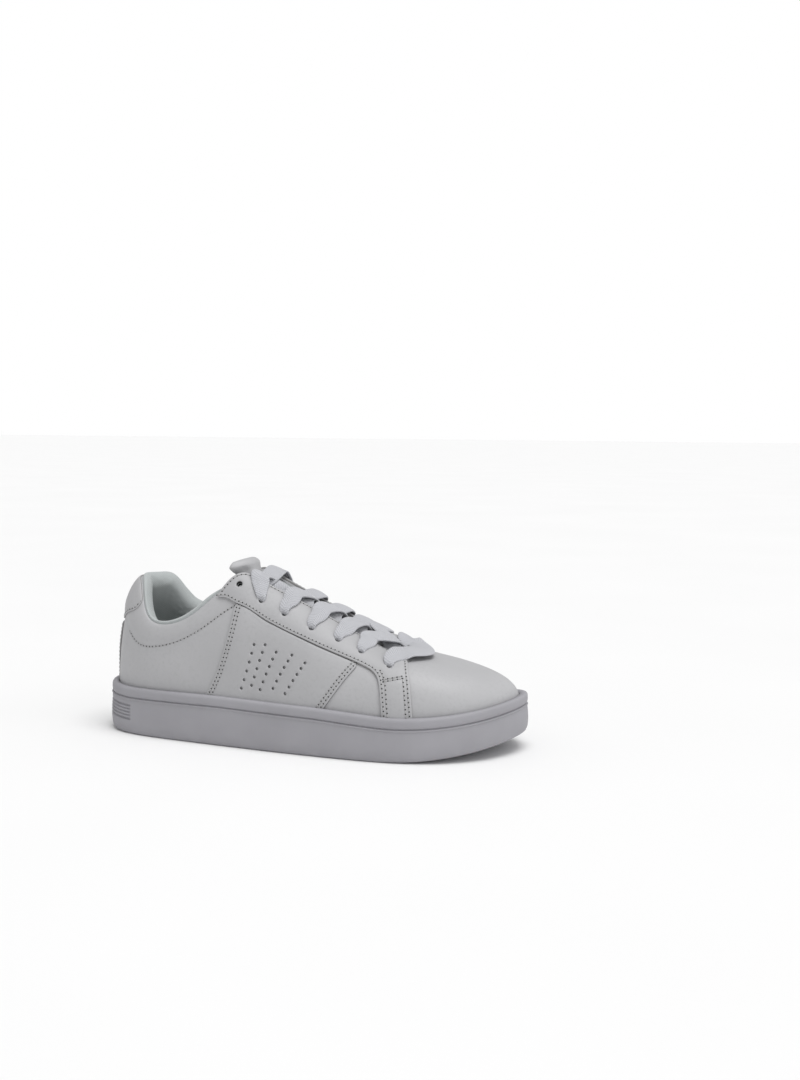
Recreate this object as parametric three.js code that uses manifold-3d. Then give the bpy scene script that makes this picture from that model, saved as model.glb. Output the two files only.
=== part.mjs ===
// Low court shoe for the right foot, with its lace threaded and the ends tucked in.
// Millimetres. +X points to the toe, +Y to the inner (medial) side and +Z up.
// The origin is on the ground, under the middle of the sole.
//
// The upper is one curved surface, upper(t, s). t runs once round the foot, from the middle of
// the heel along the outer (lateral) side to the toe and back along the medial side. s runs from
// the feather line, where the upper meets the sole, to the topline, the edge of the opening.
// Each layer of leather, foam or lining is a slab that lies a fixed distance in or out of it.
import * as THREE from 'three';
import { mergeVertices } from 'three/addons/utils/BufferGeometryUtils.js';
import Module from 'manifold-3d';

const wasm = await Module();
wasm.setup();

// ---- driving dimensions ---------------------------------------------------------------------
const CUP_FLOOR = 6;          // rubber under the foot
const CUP_WALL = 4.8;         // rubber wall beside the midsole
const LIP_INSET = 1;          // how far the top of the side wall leans in
const BEAD_HEIGHT = 7;        // band above the groove that runs round the side wall
const MIDSOLE_TOP = 16;
const BOARD = 1.5;            // strobel board, which the upper is stitched to
const SOCKLINER = 4.4;
const FIT = 0.3;              // gap between two pieces that touch
const TOE_SPRING = 12.5;      // how far the tip of the sole is off the ground
const HEEL_SPRING = 2;
const SPRING_FROM = 60;       // the sole is flat from HEEL_FLAT to here
const HEEL_FLAT = -118;
const SOLE_FRONT = 148;
const UPPER_INSET = 6.2;      // feather line inside the sole's outline

const LEATHER = 1.4;
const OVERLAY_UNDER = 0.7;    // overlays lie this far off the base leather
const OVERLAY_OVER = 1.9;
const LINING_UNDER = -2.9;
const LINING_OVER = -4;
const PADDING = 7;            // collar foam

const FLEX_X = 89;            // the toe bends about this line, just ahead of the strap
const FLEX_Z = 20;
const FLEX_ANGLE = THREE.MathUtils.degToRad(30);
const TONGUE_AXIS = new THREE.Vector3(-33.5, 0, 87);
const TONGUE_GAP = 1.2;

const HOLE_RADIUS = 2.5;
const LACE_WIDTH = 10.4;
const LACE_THICK = 1.3;

const T_STEP = 0.5;           // size of the surface's facets, in t and in s
const S_STEP = 1 / 6;

// Stations round the foot: the sole's outline x, y; the topline x, y, z; how far the side swells
// beyond the feather line; the height of that swell; and how far the instep reaches out from
// the topline, and drops, before it turns down to the side.
const STATIONS = [
  [-148, 0, -124, 0, 109, 2, 50, 20, 17],
  [-142.5, -19, -119, -12, 104, 2, 50, 16, 15],
  [-127, -32, -112, -23, 88, 2, 46, 11, 14],
  [-102, -39, -100, -30, 80, 2, 42, 6, 16],
  [-74, -43, -80, -32, 85, 2, 42, 6, 18],
  [-50, -46, -61, -27, 101, 2, 44, 10, 20],
  [-32, -48, -46, -18, 113, 2, 46, 17, 18],
  [-14, -50, -32, -13.5, 108, 2.5, 48, 21, 14],
  [10, -52, -4, -13, 95, 3, 48, 24, 12],
  [34, -53.5, 24, -13, 81.5, 3, 46, 24, 9],
  [58, -54, 46, -13.5, 70, 3, 44, 24, 6],
  [84, -51.5, 58, -12.5, 64, 3, 42, 32, 4],
  [108, -43, 64, -9, 62, 3.5, 42, 42, 3],
  [130, -27, 66.5, -3.5, 61, 3.5, 44, 50, 3],
  [144, -6, 67.5, 1, 60.5, 3.5, 47, 52, 3],
  [148, 12, 67, 4.5, 60.5, 3.5, 48, 52, 3],
  [142.5, 29, 65.5, 8, 61, 3.5, 46, 50, 3],
  [127, 43, 63, 11, 62, 3.5, 44, 46, 3],
  [103, 52, 58, 13, 64, 3, 42, 38, 3],
  [76, 54, 49, 14, 69, 3, 44, 32, 4],
  [48, 50.5, 35, 14, 76, 2.5, 46, 28, 6],
  [14, 43.5, 4, 14, 91, 2, 48, 24, 9],
  [-16, 39, -30, 14.5, 108, 2, 50, 20, 13],
  [-36, 38, -46, 19, 113, 2, 48, 16, 18],
  [-54, 37.5, -61, 26, 103, 2, 44, 10, 20],
  [-76, 37.5, -79, 30, 88, 2, 42, 5, 18],
  [-102, 36.5, -99, 29, 88, 2, 42, 5, 16],
  [-128, 30.5, -112, 22, 104.5, 2, 46, 10, 14],
  [-143, 18, -120, 11.5, 108.5, 2, 50, 16, 15],
];
const ROUND = STATIONS.length;

// Height of the sole's side wall above its underside, from heel to toe.
const WALL_HEIGHTS = [[-148, 32], [-50, 33], [20, 31.5], [70, 28.5], [148, 25.5]];

// Eyelets of the lateral side, from the toe up, as t and s. The last one is left empty.
const EYELETS = [
  [10.62, 0.69], [9.69, 0.75], [9, 0.76], [8.28, 0.75], [7.6, 0.765], [6.93, 0.784], [5.98, 0.885],
];

// ---- small maths ----------------------------------------------------------------------------
const { clamp, lerp, smoothstep } = THREE.MathUtils;
const vec = (x, y, z) => new THREE.Vector3(x, y, z);

// Straight-line interpolation through [x, y] pairs.
function through(pairs, x) {
  let value = pairs[0][1];
  for (let i = 1; i < pairs.length; i += 1) {
    const [x0, y0] = pairs[i - 1];
    const [x1, y1] = pairs[i];
    if (x >= x0) value = lerp(y0, y1, clamp((x - x0) / (x1 - x0), 0, 1));
  }
  return value;
}

// A closed smooth curve through one point per station.
class Track {
  constructor(points) {
    this.points = points;
    this.slopes = points.map(() => vec(0, 0, 0));
    for (let pass = 0; pass < 60; pass += 1) {
      this.slopes = points.map((_, i) => this.point(i + 1).clone()
        .sub(this.point(i - 1))
        .multiplyScalar(3)
        .sub(this.slope(i + 1))
        .sub(this.slope(i - 1))
        .divideScalar(4));
    }
  }

  point(i) {
    return this.points[(i + ROUND) % ROUND];
  }

  slope(i) {
    return this.slopes[(i + ROUND) % ROUND];
  }

  at(t) {
    const i = Math.floor(t);
    const u = t - i;
    const k = ((i % ROUND) + ROUND) % ROUND;
    return vec(0, 0, 0)
      .addScaledVector(this.point(k), 2 * u ** 3 - 3 * u ** 2 + 1)
      .addScaledVector(this.slope(k), u ** 3 - 2 * u ** 2 + u)
      .addScaledVector(this.point(k + 1), -2 * u ** 3 + 3 * u ** 2)
      .addScaledVector(this.slope(k + 1), u ** 3 - u ** 2);
  }
}

// ---- the sole's outline and the upper's surface -----------------------------------------------
const outline = new Track(STATIONS.map((row) => vec(row[0], row[1], 0)));

function outward(t) {
  const along = outline.at(t + 1e-3).sub(outline.at(t - 1e-3));
  return vec(along.y, -along.x, 0).normalize();
}

function outlineIn(t, inset) {
  return outline.at(t).addScaledVector(outward(t), -inset);
}

function spring(x) {
  const toe = Math.max(0, (x - SPRING_FROM) / (SOLE_FRONT - SPRING_FROM));
  const heel = Math.max(0, (HEEL_FLAT - x) / (SOLE_FRONT + HEEL_FLAT));
  return TOE_SPRING * toe ** 2 + HEEL_SPRING * heel ** 2;
}

function upperTracks() {
  const feather = [];
  const side = [];
  const instep = [];
  const topline = [];
  STATIONS.forEach(([, , x, y, z, swell, swellZ, reach, drop], t) => {
    const edge = outlineIn(t, UPPER_INSET);
    const top = vec(x, y, z);
    const out = vec(edge.x - x, edge.y - y, 0).normalize();
    side.push(edge.clone().addScaledVector(outward(t), swell).setZ(swellZ));
    instep.push(top.clone().addScaledVector(out, reach).setZ(z - drop));
    topline.push(top);
    feather.push(edge.setZ(MIDSOLE_TOP + BOARD + 1.1 + 0.9 * spring(edge.x)));
  });
  return [feather, side, instep, topline].map((points) => new Track(points));
}
const [featherTrack, sideTrack, instepTrack, toplineTrack] = upperTracks();

function upper(t, s) {
  const r = 1 - s;
  return featherTrack.at(t).multiplyScalar(r ** 3)
    .addScaledVector(sideTrack.at(t), 3 * r ** 2 * s)
    .addScaledVector(instepTrack.at(t), 3 * r * s ** 2)
    .addScaledVector(toplineTrack.at(t), s ** 3);
}

function normalOf(surface, a, b) {
  const step = 1e-3;
  const alongA = surface(a + step, b).sub(surface(a - step, b));
  const alongB = surface(a, b + step).sub(surface(a, b - step));
  return alongA.cross(alongB).normalize();
}

function off(surface, a, b, distance) {
  return surface(a, b).addScaledVector(normalOf(surface, a, b), distance);
}

// The medial station that faces a lateral one across the shoe.
function across(t) {
  return ROUND - t + 0.75 * clamp((t - 8) / 2.5, 0, 1);
}

// ---- closed bodies ----------------------------------------------------------------------------
function knots(from, to, step) {
  const list = [from];
  for (let k = Math.ceil(from / step + 0.2); k * step < to - 0.2 * step; k += 1) list.push(k * step);
  list.push(to);
  return list;
}

function even(from, to, count) {
  return Array.from({ length: count + 1 }, (_, i) => lerp(from, to, i / count));
}

// A slab over the grid as x bs. place(a, b) gives the surface's own two coordinates, and
// layer(a, b, w) the distance off the surface at the slab's underside (w 0) and top (w 1).
function slab(surface, as, bs, layer, place = (a, b) => [a, b]) {
  const nu = as.length - 1;
  const nv = bs.length - 1;
  const box = new THREE.BoxGeometry(1, 1, 1, nu, nv, 1);
  const position = box.getAttribute('position');
  for (let i = 0; i < position.count; i += 1) {
    const a = as[Math.round((position.getX(i) + 0.5) * nu)];
    const b = bs[Math.round((position.getY(i) + 0.5) * nv)];
    const w = position.getZ(i) + 0.5;
    const p = off(surface, ...place(a, b), layer(a, b, w));
    position.setXYZ(i, p.x, p.y, p.z);
  }
  return closed(box);
}

function closed(geometry) {
  geometry.deleteAttribute('normal');
  geometry.deleteAttribute('uv');
  return mergeVertices(geometry, 1e-4);
}

function between(under, over) {
  return (a, b, w) => lerp(under, over, w);
}

// A body bounded by rings that go round the foot, closed across the first and the last ring.
function ringBody(rings) {
  const n = rings[0].length;
  const corner = (ring, i) => ring * n + ((i + n) % n);
  const faces = [];
  const triangle = (a, b, c) => {
    if (a !== b && b !== c && a !== c) faces.push(a, b, c);
  };
  const quad = (a, b, c, d) => {
    triangle(a, b, c);
    triangle(a, c, d);
  };
  for (let r = 0; r + 1 < rings.length; r += 1) {
    for (let i = 0; i < n; i += 1) {
      quad(corner(r, i), corner(r, i + 1), corner(r + 1, i + 1), corner(r + 1, i));
    }
  }
  const last = rings.length - 1;
  for (let i = 0; i < n / 2; i += 1) {
    quad(corner(0, i), corner(0, n - i), corner(0, n - i - 1), corner(0, i + 1));
    quad(corner(last, i), corner(last, i + 1), corner(last, n - i - 1), corner(last, n - i));
  }
  const geometry = new THREE.BufferGeometry();
  const numbers = rings.flat().flatMap((p) => p.toArray());
  geometry.setAttribute('position', new THREE.Float32BufferAttribute(numbers, 3));
  geometry.setIndex(faces);
  return geometry;
}

// One ring round the sole. inset and height are functions of t and of the outline's x.
function soleRing(inset, height) {
  return even(0, ROUND - T_STEP, ROUND / T_STEP - 1).map((t) => {
    const p = outlineIn(t, inset);
    return p.setZ(spring(p.x) + height(p.x));
  });
}

function plate(inset, from, to) {
  return ringBody([soleRing(inset, () => from), soleRing(inset, () => to)]);
}

// ---- cutting ----------------------------------------------------------------------------------
function toManifold(geometry) {
  return new wasm.Manifold(new wasm.Mesh({
    numProp: 3,
    vertProperties: new Float32Array(geometry.getAttribute('position').array),
    triVerts: new Uint32Array(geometry.getIndex().array),
  }));
}

function fromManifold(body) {
  const { vertProperties, triVerts } = body.getMesh();
  const geometry = new THREE.BufferGeometry();
  geometry.setAttribute('position', new THREE.Float32BufferAttribute(vertProperties, 3));
  geometry.setIndex(Array.from(triVerts));
  return geometry;
}

function cut(geometry, ...tools) {
  let body = toManifold(geometry);
  tools.forEach((tool) => {
    body = body.subtract(toManifold(tool));
  });
  return fromManifold(body);
}

function keep(geometry, tool) {
  return fromManifold(toManifold(geometry).intersect(toManifold(tool)));
}

// A block as wide as the shoe, with this outline in x and z.
function block(corners) {
  const shape = new THREE.Shape(corners.map(([x, z]) => new THREE.Vector2(x, z)));
  const geometry = new THREE.ExtrudeGeometry(shape, { depth: 200, bevelEnabled: false });
  geometry.rotateX(Math.PI / 2);
  geometry.translate(0, 100, 0);
  return closed(geometry);
}

const FAR = 300;
const flexLean = (FAR - FLEX_Z) * Math.tan(FLEX_ANGLE);
const rearSide = block([[-FAR, -FAR], [FLEX_X - FIT, -FAR], [FLEX_X - FIT, FAR], [-FAR, FAR]]);
// The front pieces lean away from the flex line, so that they can tip up about it.
const frontSide = block([
  [FLEX_X, -FAR], [FAR, -FAR], [FAR, FAR], [FLEX_X + flexLean, FAR], [FLEX_X, FLEX_Z],
]);
const behindFront = block([
  [-FAR, -FAR], [FLEX_X - FIT, -FAR], [FLEX_X - FIT, FLEX_Z], [FLEX_X - FIT + flexLean, FAR], [-FAR, FAR],
]);

// ---- sole -------------------------------------------------------------------------------------
function wallHeight(x) {
  return through(WALL_HEIGHTS, x);
}

// Inner face of the side wall at this height: just clear of the upper and its overlays.
function besideUpper(fraction) {
  return even(0, ROUND - T_STEP, ROUND / T_STEP - 1).map((t) => {
    const lip = outlineIn(t, UPPER_INSET);
    const low = featherTrack.at(t).z;
    const z = lerp(low, spring(lip.x) + wallHeight(lip.x), fraction);
    let [under, over] = [0, 1];
    for (let pass = 0; pass < 30; pass += 1) {
      const middle = (under + over) / 2;
      if (upper(t, middle).z < z) under = middle;
      else over = middle;
    }
    return upper(t, under).addScaledVector(outward(t), OVERLAY_OVER + 2 * FIT).setZ(z);
  });
}

function cupsole() {
  const flat = (height) => () => height;
  return ringBody([
    soleRing(4, flat(0)),
    soleRing(1.2, flat(1.6)),
    soleRing(0.2, flat(6)),
    soleRing(0, flat(13)),
    soleRing(0.3, (x) => wallHeight(x) - BEAD_HEIGHT - 1.5),
    soleRing(1.6, (x) => wallHeight(x) - BEAD_HEIGHT),
    soleRing(LIP_INSET, (x) => wallHeight(x) - BEAD_HEIGHT + 1.5),
    soleRing(LIP_INSET, (x) => wallHeight(x) - 1),
    soleRing(LIP_INSET + 1, wallHeight),
    besideUpper(1),
    besideUpper(0.4),
    soleRing(CUP_WALL, flat(MIDSOLE_TOP + BOARD)),
    soleRing(CUP_WALL, flat(CUP_FLOOR)),
  ]);
}

const midsole = plate(CUP_WALL + 2 * FIT, CUP_FLOOR + FIT, MIDSOLE_TOP);
const strobelBoard = plate(CUP_WALL + 1, MIDSOLE_TOP + FIT, MIDSOLE_TOP + BOARD);
const sockliner = plate(11.5, MIDSOLE_TOP + BOARD + FIT, MIDSOLE_TOP + BOARD + SOCKLINER);

// ---- base leather and lining --------------------------------------------------------------------
const HEEL_SEAM = 0.03;       // half of the gap between the two quarters behind the heel
const SEAM = 10.9;            // where the quarter meets the vamp, under the strap
const SEAM_GAP = 0.03;
const COLLAR_END = 5.15;      // where the padded collar meets the eyelet facing
const TOP_EDGE = 0.985;
const COLLAR_EDGE = 0.93;     // the leather stops here, and the lining rolls over the foam

// The leather's upper edge: lower along the padded collar than beside the throat.
function topEdge(t) {
  return lerp(COLLAR_EDGE, TOP_EDGE, smoothstep(t, COLLAR_END + 0.3, COLLAR_END + 0.85));
}

// The seam leans forward as it nears the throat, clear of the first eyelet.
function seamAt(s) {
  return SEAM + 0.7 * s ** 4;
}

// Puts the last row of a quarter's grid on the seam.
function toSeam(side) {
  return (t, s) => [t === side(SEAM) ? side(seamAt(s)) : t, s];
}

function holeCutters(side) {
  return EYELETS.map(([t, s]) => {
    const at = side(t);
    const axis = normalOf(upper, at, s);
    const pin = new THREE.CylinderGeometry(HOLE_RADIUS, HOLE_RADIUS, 14, 8);
    pin.applyQuaternion(new THREE.Quaternion().setFromUnitVectors(vec(0, 1, 0), axis));
    pin.translate(...upper(at, s).addScaledVector(axis, -1));
    return closed(pin);
  });
}

const lateral = (t) => t;
const sides = [['lateral', lateral], ['medial', across]];

// Knots of a piece that reaches from one lateral station to another, on either side of the shoe.
function sideKnots(side, from, to) {
  const ends = [side(from), side(to)].sort((a, b) => a - b);
  return knots(...ends, T_STEP);
}

// Knots listed for the lateral side, in the order that turns a slab's top outward on either side.
function ordered(side, list) {
  return side === lateral ? list : list.reverse();
}

// Stands for t on the lateral side, whichever side t is on.
function mirrored(t) {
  return t > ROUND / 2 ? ROUND - t : t;
}

function quarter(side) {
  const body = slab(
    upper,
    sideKnots(side, HEEL_SEAM, SEAM),
    knots(0, 1, S_STEP),
    between(-LEATHER, 0),
    (t, s) => toSeam(side)(t, s * topEdge(mirrored(t))),
  );
  return cut(body, ...holeCutters(side));
}

function quarterLining(side) {
  return slab(
    upper,
    sideKnots(side, COLLAR_END, SEAM),
    knots(0.02, 0.62, S_STEP),
    between(LINING_OVER, LINING_UNDER),
    toSeam(side),
  );
}

function eyeletFacing(side) {
  const body = slab(
    upper,
    sideKnots(side, COLLAR_END + 0.05, SEAM),
    knots(0.64, 1, S_STEP),
    between(LINING_OVER, LINING_UNDER),
    (t, s) => toSeam(side)(t, s === 1 ? topEdge(mirrored(t)) : s),
  );
  return cut(body, ...holeCutters(side));
}

function vampLayer(under, over, top) {
  const [first, last] = [SEAM, across(SEAM)];
  const toEnds = (t, s) => {
    if (t === first) return [seamAt(s) + SEAM_GAP, s];
    return [t === last ? across(seamAt(s)) - SEAM_GAP : t, s];
  };
  const ts = [first, ...knots(11, 18, T_STEP), last];
  return slab(upper, ts, knots(0, top, S_STEP), between(under, over), toEnds);
}

const vamp = vampLayer(-LEATHER, 0, TOP_EDGE);
const vampLining = vampLayer(LINING_OVER, LINING_UNDER, TOP_EDGE - 0.01);
const toePuff = slab(
  upper,
  knots(13, 16.6, T_STEP),
  knots(0.02, 0.5, S_STEP),
  between(-2.7, -LEATHER - 2 * FIT),
);

// ---- heel and collar ------------------------------------------------------------------------------
const heelCounter = slab(
  upper,
  knots(-2.5, 2.6, T_STEP),
  knots(0.02, 0.5, S_STEP),
  between(-2.8, -LEATHER - FIT),
);

// The foam is thick round the ankle and thins out towards the eyelets.
function foam(t) {
  return PADDING * (1 - 0.8 * smoothstep(Math.abs(t), 3, COLLAR_END));
}

const PAD_LOW = 0.56;
const PAD_HIGH = 0.9;
const FOAM_OUT = LEATHER + 2 * FIT;

const collarPadding = slab(
  upper,
  knots(-COLLAR_END + 0.35, COLLAR_END - 0.35, T_STEP),
  [PAD_LOW, 2 / 3, 5 / 6, PAD_HIGH],
  (t, s, w) => (w ? -FOAM_OUT : -FOAM_OUT - foam(t) * (s === PAD_LOW ? 0.35 : 1)),
);

// The collar lining covers the inside of the heel, goes over the foam and ends level with the
// leather's upper edge.
function collarLiningLayer(t, s, w) {
  const inside = -3.2 - foam(t) * smoothstep(s, 0.5, PAD_LOW + 0.08);
  if (w === 0) return inside - 1.3;
  return s > COLLAR_EDGE ? -0.2 : inside;
}

const collarLining = slab(
  upper,
  knots(-COLLAR_END + 0.03, COLLAR_END - 0.03, T_STEP),
  [0.02, 1 / 6, 2 / 6, 0.5, PAD_LOW, 2 / 3, 5 / 6, PAD_HIGH + 0.012, COLLAR_EDGE + 0.012, 1],
  collarLiningLayer,
);

// ---- overlays -------------------------------------------------------------------------------------
const overlay = between(OVERLAY_UNDER, OVERLAY_OVER);

// Lower edge of the eyestay as s, by station.
const EYESTAY_LOWER = [
  [5.1, 0.91], [5.4, 0.85], [5.9, 0.74], [7, 0.655], [8.4, 0.622], [9.7, 0.6], [10.15, 0.55],
];
const EYESTAY_REAR = 5.1;
const STRAP_REAR = 10.22;
const STRAP_FRONT = 11.06;
const STRAP_TOP = 0.56;
const TURN_FROM = 10.6;       // ahead of here the eyestay turns in, round the front of the throat
const TURN = 0.9;

// The eyestay runs beside the throat, and its strap goes on down to the sole.
function eyestay(side) {
  const band = slab(
    upper,
    ordered(side, knots(EYESTAY_REAR, STRAP_FRONT, T_STEP)),
    even(0, 1, 4),
    overlay,
    (t, v) => {
      const reach = Math.max(0, t - TURN_FROM) * TURN * v;
      return [side(t + reach), lerp(through(EYESTAY_LOWER, t), topEdge(t), v)];
    },
  );
  const strap = slab(
    upper,
    ordered(side, [STRAP_REAR, 10.5, STRAP_FRONT]),
    knots(0.03, STRAP_TOP + 0.02, S_STEP),
    overlay,
    (t, s) => [side(t), s],
  );
  const joined = fromManifold(toManifold(band).add(toManifold(strap)));
  return cut(joined, ...holeCutters(side));
}

// The panel's rear and front edges, each from the sole to the eyestay, in t.
const PANEL_REAR = [4.05, 5.75];
const PANEL_FRONT = [8.3, 9.62];
const PANEL_LOW = 0.04;
const PANEL_GAP = 0.035;      // kept below the eyestay, in s
const PANEL_SWEEP = 0.85;     // below 1, the edges bow towards the toe

// Broad swept panel on the side, from the eyestay down and back to the sole.
function sidePanel(side) {
  return slab(upper, ordered(side, even(0, 1, 8)), even(0, 1, 4), overlay, (u, v) => {
    const low = lerp(PANEL_REAR[0], PANEL_FRONT[0], u);
    const high = lerp(PANEL_REAR[1], PANEL_FRONT[1], u);
    const top = through(EYESTAY_LOWER, high) - PANEL_GAP;
    return [side(lerp(low, high, v ** PANEL_SWEEP)), lerp(PANEL_LOW, top, v)];
  });
}

const heelTab = slab(
  upper,
  knots(-1.55, 1.55, T_STEP),
  [0.6, 2 / 3, 5 / 6, 0.92],
  overlay,
);

const heelPatch = slab(upper, knots(-0.75, 0.75, T_STEP), knots(0.05, 0.57, S_STEP), overlay);

// ---- tongue ---------------------------------------------------------------------------------------
// Middle line of the tongue's outer face, from under the vamp to its top, as x and z.
const tongueLine = new THREE.CatmullRomCurve3([
  vec(76, 0, 50), vec(68, 0, 53), vec(57, 0, 61.5), vec(46, 0, 68.5), vec(24, 0, 79.5),
  vec(-4, 0, 92), vec(-24, 0, 98.5), vec(-35.5, 0, 104), vec(-43, 0, 111.5), vec(-47, 0, 121.8),
]);
const TONGUE_HALF = 20;       // half of its width under the vamp
const TONGUE_WAIST = 14;      // and between the eyestays
const TONGUE_HEAD = 18.5;     // and above them
const TONGUE_SKIN = 1.2;
const TONGUE_LINING = 1;
// Where the tongue's middle lies across the shoe, as x and y.
const TONGUE_MIDDLE = [[-30, 0.5], [40, 0.5], [70, 4]];

function tongueFace(u, v) {
  const p = tongueLine.getPoint(clamp(u, 0, 1));
  const waist = lerp(TONGUE_HALF, TONGUE_WAIST, smoothstep(u, 0.5, 0.75));
  const halfWidth = waist + (TONGUE_HEAD - TONGUE_WAIST) * smoothstep(u, 0.945, 0.975);
  const sag = lerp(0.036, 0.024, smoothstep(u, 0.45, 0.72)) - 0.015 * smoothstep(u, 0.9, 0.96);
  const y = -halfWidth * (2 * v - 1);
  return vec(p.x, through(TONGUE_MIDDLE, p.x) + y, p.z - sag * y ** 2);
}

const tongueUs = [...even(0.005, 0.66, 8), 0.74, 0.82, 0.9, 0.945, 0.975, 0.995];
const tongueVs = even(0, 1, 4);
const TONGUE_LAYER_GAP = 0.7;
const foamTop = -TONGUE_SKIN - TONGUE_LAYER_GAP - 0.1;
const foamBottom = (u) => foamTop - lerp(2.5, 5, smoothstep(u, 0.1, 0.7));
const liningTop = (u) => foamBottom(u) - TONGUE_LAYER_GAP;
const tongueLayers = {
  leather: slab(tongueFace, tongueUs, tongueVs, between(-TONGUE_SKIN, 0)),
  foam: slab(tongueFace, tongueUs, tongueVs, (u, v, w) => lerp(foamBottom(u), foamTop, w)),
  lining: slab(tongueFace, tongueUs, tongueVs, (u, v, w) => liningTop(u) - (1 - w) * TONGUE_LINING),
};

// The tongue bends where the top lace holds it: a plane through the fold's axis parts the tip.
function tongueSide(offset, edge) {
  const along = new THREE.Vector2(0.42, 0.91).normalize();
  const x = TONGUE_AXIS.x + offset;
  const up = [x + along.x * 80, TONGUE_AXIS.z + along.y * 80];
  const down = [x - along.x * 60, TONGUE_AXIS.z - along.y * 60];
  return block([[edge, down[1]], [edge, up[1]], up, down]);
}

const tongueBaseSide = tongueSide(TONGUE_GAP / 2, FAR);
const tongueTipSide = tongueSide(-TONGUE_GAP / 2, -FAR);

// ---- lace -----------------------------------------------------------------------------------------
const OUTSIDE = OVERLAY_OVER + 1.4;   // middle of the lace where it lies on the eyestay
const INSIDE = LINING_OVER - 1.8;     // and where it passes under it
const LOW = 3;                        // over the tongue, the lower strand of a crossing
const HIGH = 5.4;                     // and the upper one
const LACED_ROWS = 6;
const ALONG_THROAT = vec(-0.9, 0, 0.43);
const ALONG_VAMP = vec(-1, 0, 0.1);

// A stop on the lace's route: its place, its width as a share of the lace's, and the way that
// the width lies.
const stop = (p, share, along = ALONG_THROAT) => ({ p, width: share * LACE_WIDTH, along });

function onUpper(side, t, s, depth, share, along) {
  return stop(off(upper, side(t), s, depth), share, along);
}

// Gathered, through the eyestay's hole.
function atHole(side, row) {
  const [t, s] = EYELETS[row];
  return [
    onUpper(side, t, s + 0.032, OUTSIDE + 0.2, 0.56),
    onUpper(side, t, s + 0.004, OUTSIDE - 0.8, 0.3),
    onUpper(side, t, s, OUTSIDE - 3.4, 0.22),
  ];
}

// From the throat over the eyestay's edge and down into the hole.
function overEyestay(side, row, lean = 0) {
  const [t, s] = EYELETS[row];
  return [
    onUpper(side, t + lean, TOP_EDGE + 0.03, OUTSIDE + 1.3, 1.15),
    onUpper(side, t + 0.65 * lean, lerp(s, 1, 0.62), OUTSIDE + 0.5, 1.05),
    onUpper(side, t + 0.25 * lean, s + 0.085, OUTSIDE + 0.25, 0.85),
    ...atHole(side, row),
  ];
}

// From the hole, inside the shoe, back to the throat, a little behind or ahead of the row.
function underEyestay(side, row, lean = -0.12) {
  const [t, s] = EYELETS[row];
  return [
    onUpper(side, t, s + 0.004, INSIDE + 2.4, 0.2),
    onUpper(side, t, s + 0.028, INSIDE - 0.6, 0.36),
    onUpper(side, t + lean, TOP_EDGE - 0.04, INSIDE - 0.5, 0.55),
  ];
}

// On the tongue, at this x and this fraction of its width.
function overTongue(x, v, height, share = 1.15) {
  let u = 0;
  while (tongueLine.getPoint(u).x > x) u += 0.002;
  return stop(off(tongueFace, u, v, height), share);
}

function edgeX(row) {
  return upper(EYELETS[row][0], 1).x;
}

// From the throat's edge on this side, over the tongue, towards the next row on the other side.
function crossing(side, row, height) {
  const near = side === lateral ? 0.74 : 0.26;
  return [
    overTongue(lerp(edgeX(row), edgeX(row + 1), 0.28), near, 2.2, 0.9),
    overTongue(lerp(edgeX(row), edgeX(row + 1), 0.5), 0.5, height),
  ];
}

const opposite = (side) => (side === lateral ? across : lateral);

// One end of the lace, from the first row's hole to where it is tucked in beside the tongue.
function strand(start, lift) {
  let side = start;
  const last = LACED_ROWS - 1;
  const stops = [];
  for (let row = 0; row < last; row += 1) {
    stops.push(...underEyestay(side, row));
    stops.push(...crossing(side, row, (row % 2 === 0) === lift ? HIGH : LOW));
    side = opposite(side);
    if (row + 1 < last) stops.push(...overEyestay(side, row + 1, 0.26));
  }
  // The last hole is threaded from inside, and the end goes back over the tongue.
  const far = opposite(side);
  const x = lerp(edgeX(last), edgeX(last + 1), 0.1);
  stops.push(
    ...underEyestay(side, last, 0.1).reverse(),
    ...overEyestay(side, last).reverse(),
    overTongue(x, 0.5, (lift ? LOW : HIGH) + 1.6),
    overTongue(x, far === lateral ? 0.78 : 0.22, LOW + 1, 1),
    onUpper(far, 6.7, TOP_EDGE - 0.05, INSIDE - 0.2, 0.45),
    onUpper(far, 6.5, 0.84, INSIDE - 1.2, 0.42),
    onUpper(far, 6.4, 0.74, INSIDE - 1.8, 0.4),
  );
  return stops;
}

// The lace's middle, from hole to hole, sweeps forward over the vamp ahead of the throat.
function bar() {
  const [t, s] = EYELETS[0];
  const half = (side) => [
    ...atHole(side, 0).reverse(),
    onUpper(side, t + 0.08, s + 0.1, OUTSIDE + 0.5, 0.95),
    onUpper(side, t + 0.4, s + 0.19, OUTSIDE + 1, 1.2),
    onUpper(side, t + 1, s + 0.245, OUTSIDE + 1.5, 1.3, ALONG_VAMP),
    onUpper(side, t + 2.3, s + 0.262, OUTSIDE + 1.6, 1.25, ALONG_VAMP),
  ];
  const middle = onUpper(lateral, 14.7, 0.952, OUTSIDE + 1.6, 1.25, ALONG_VAMP);
  return [...half(across), middle, ...half(lateral).reverse()];
}

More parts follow.
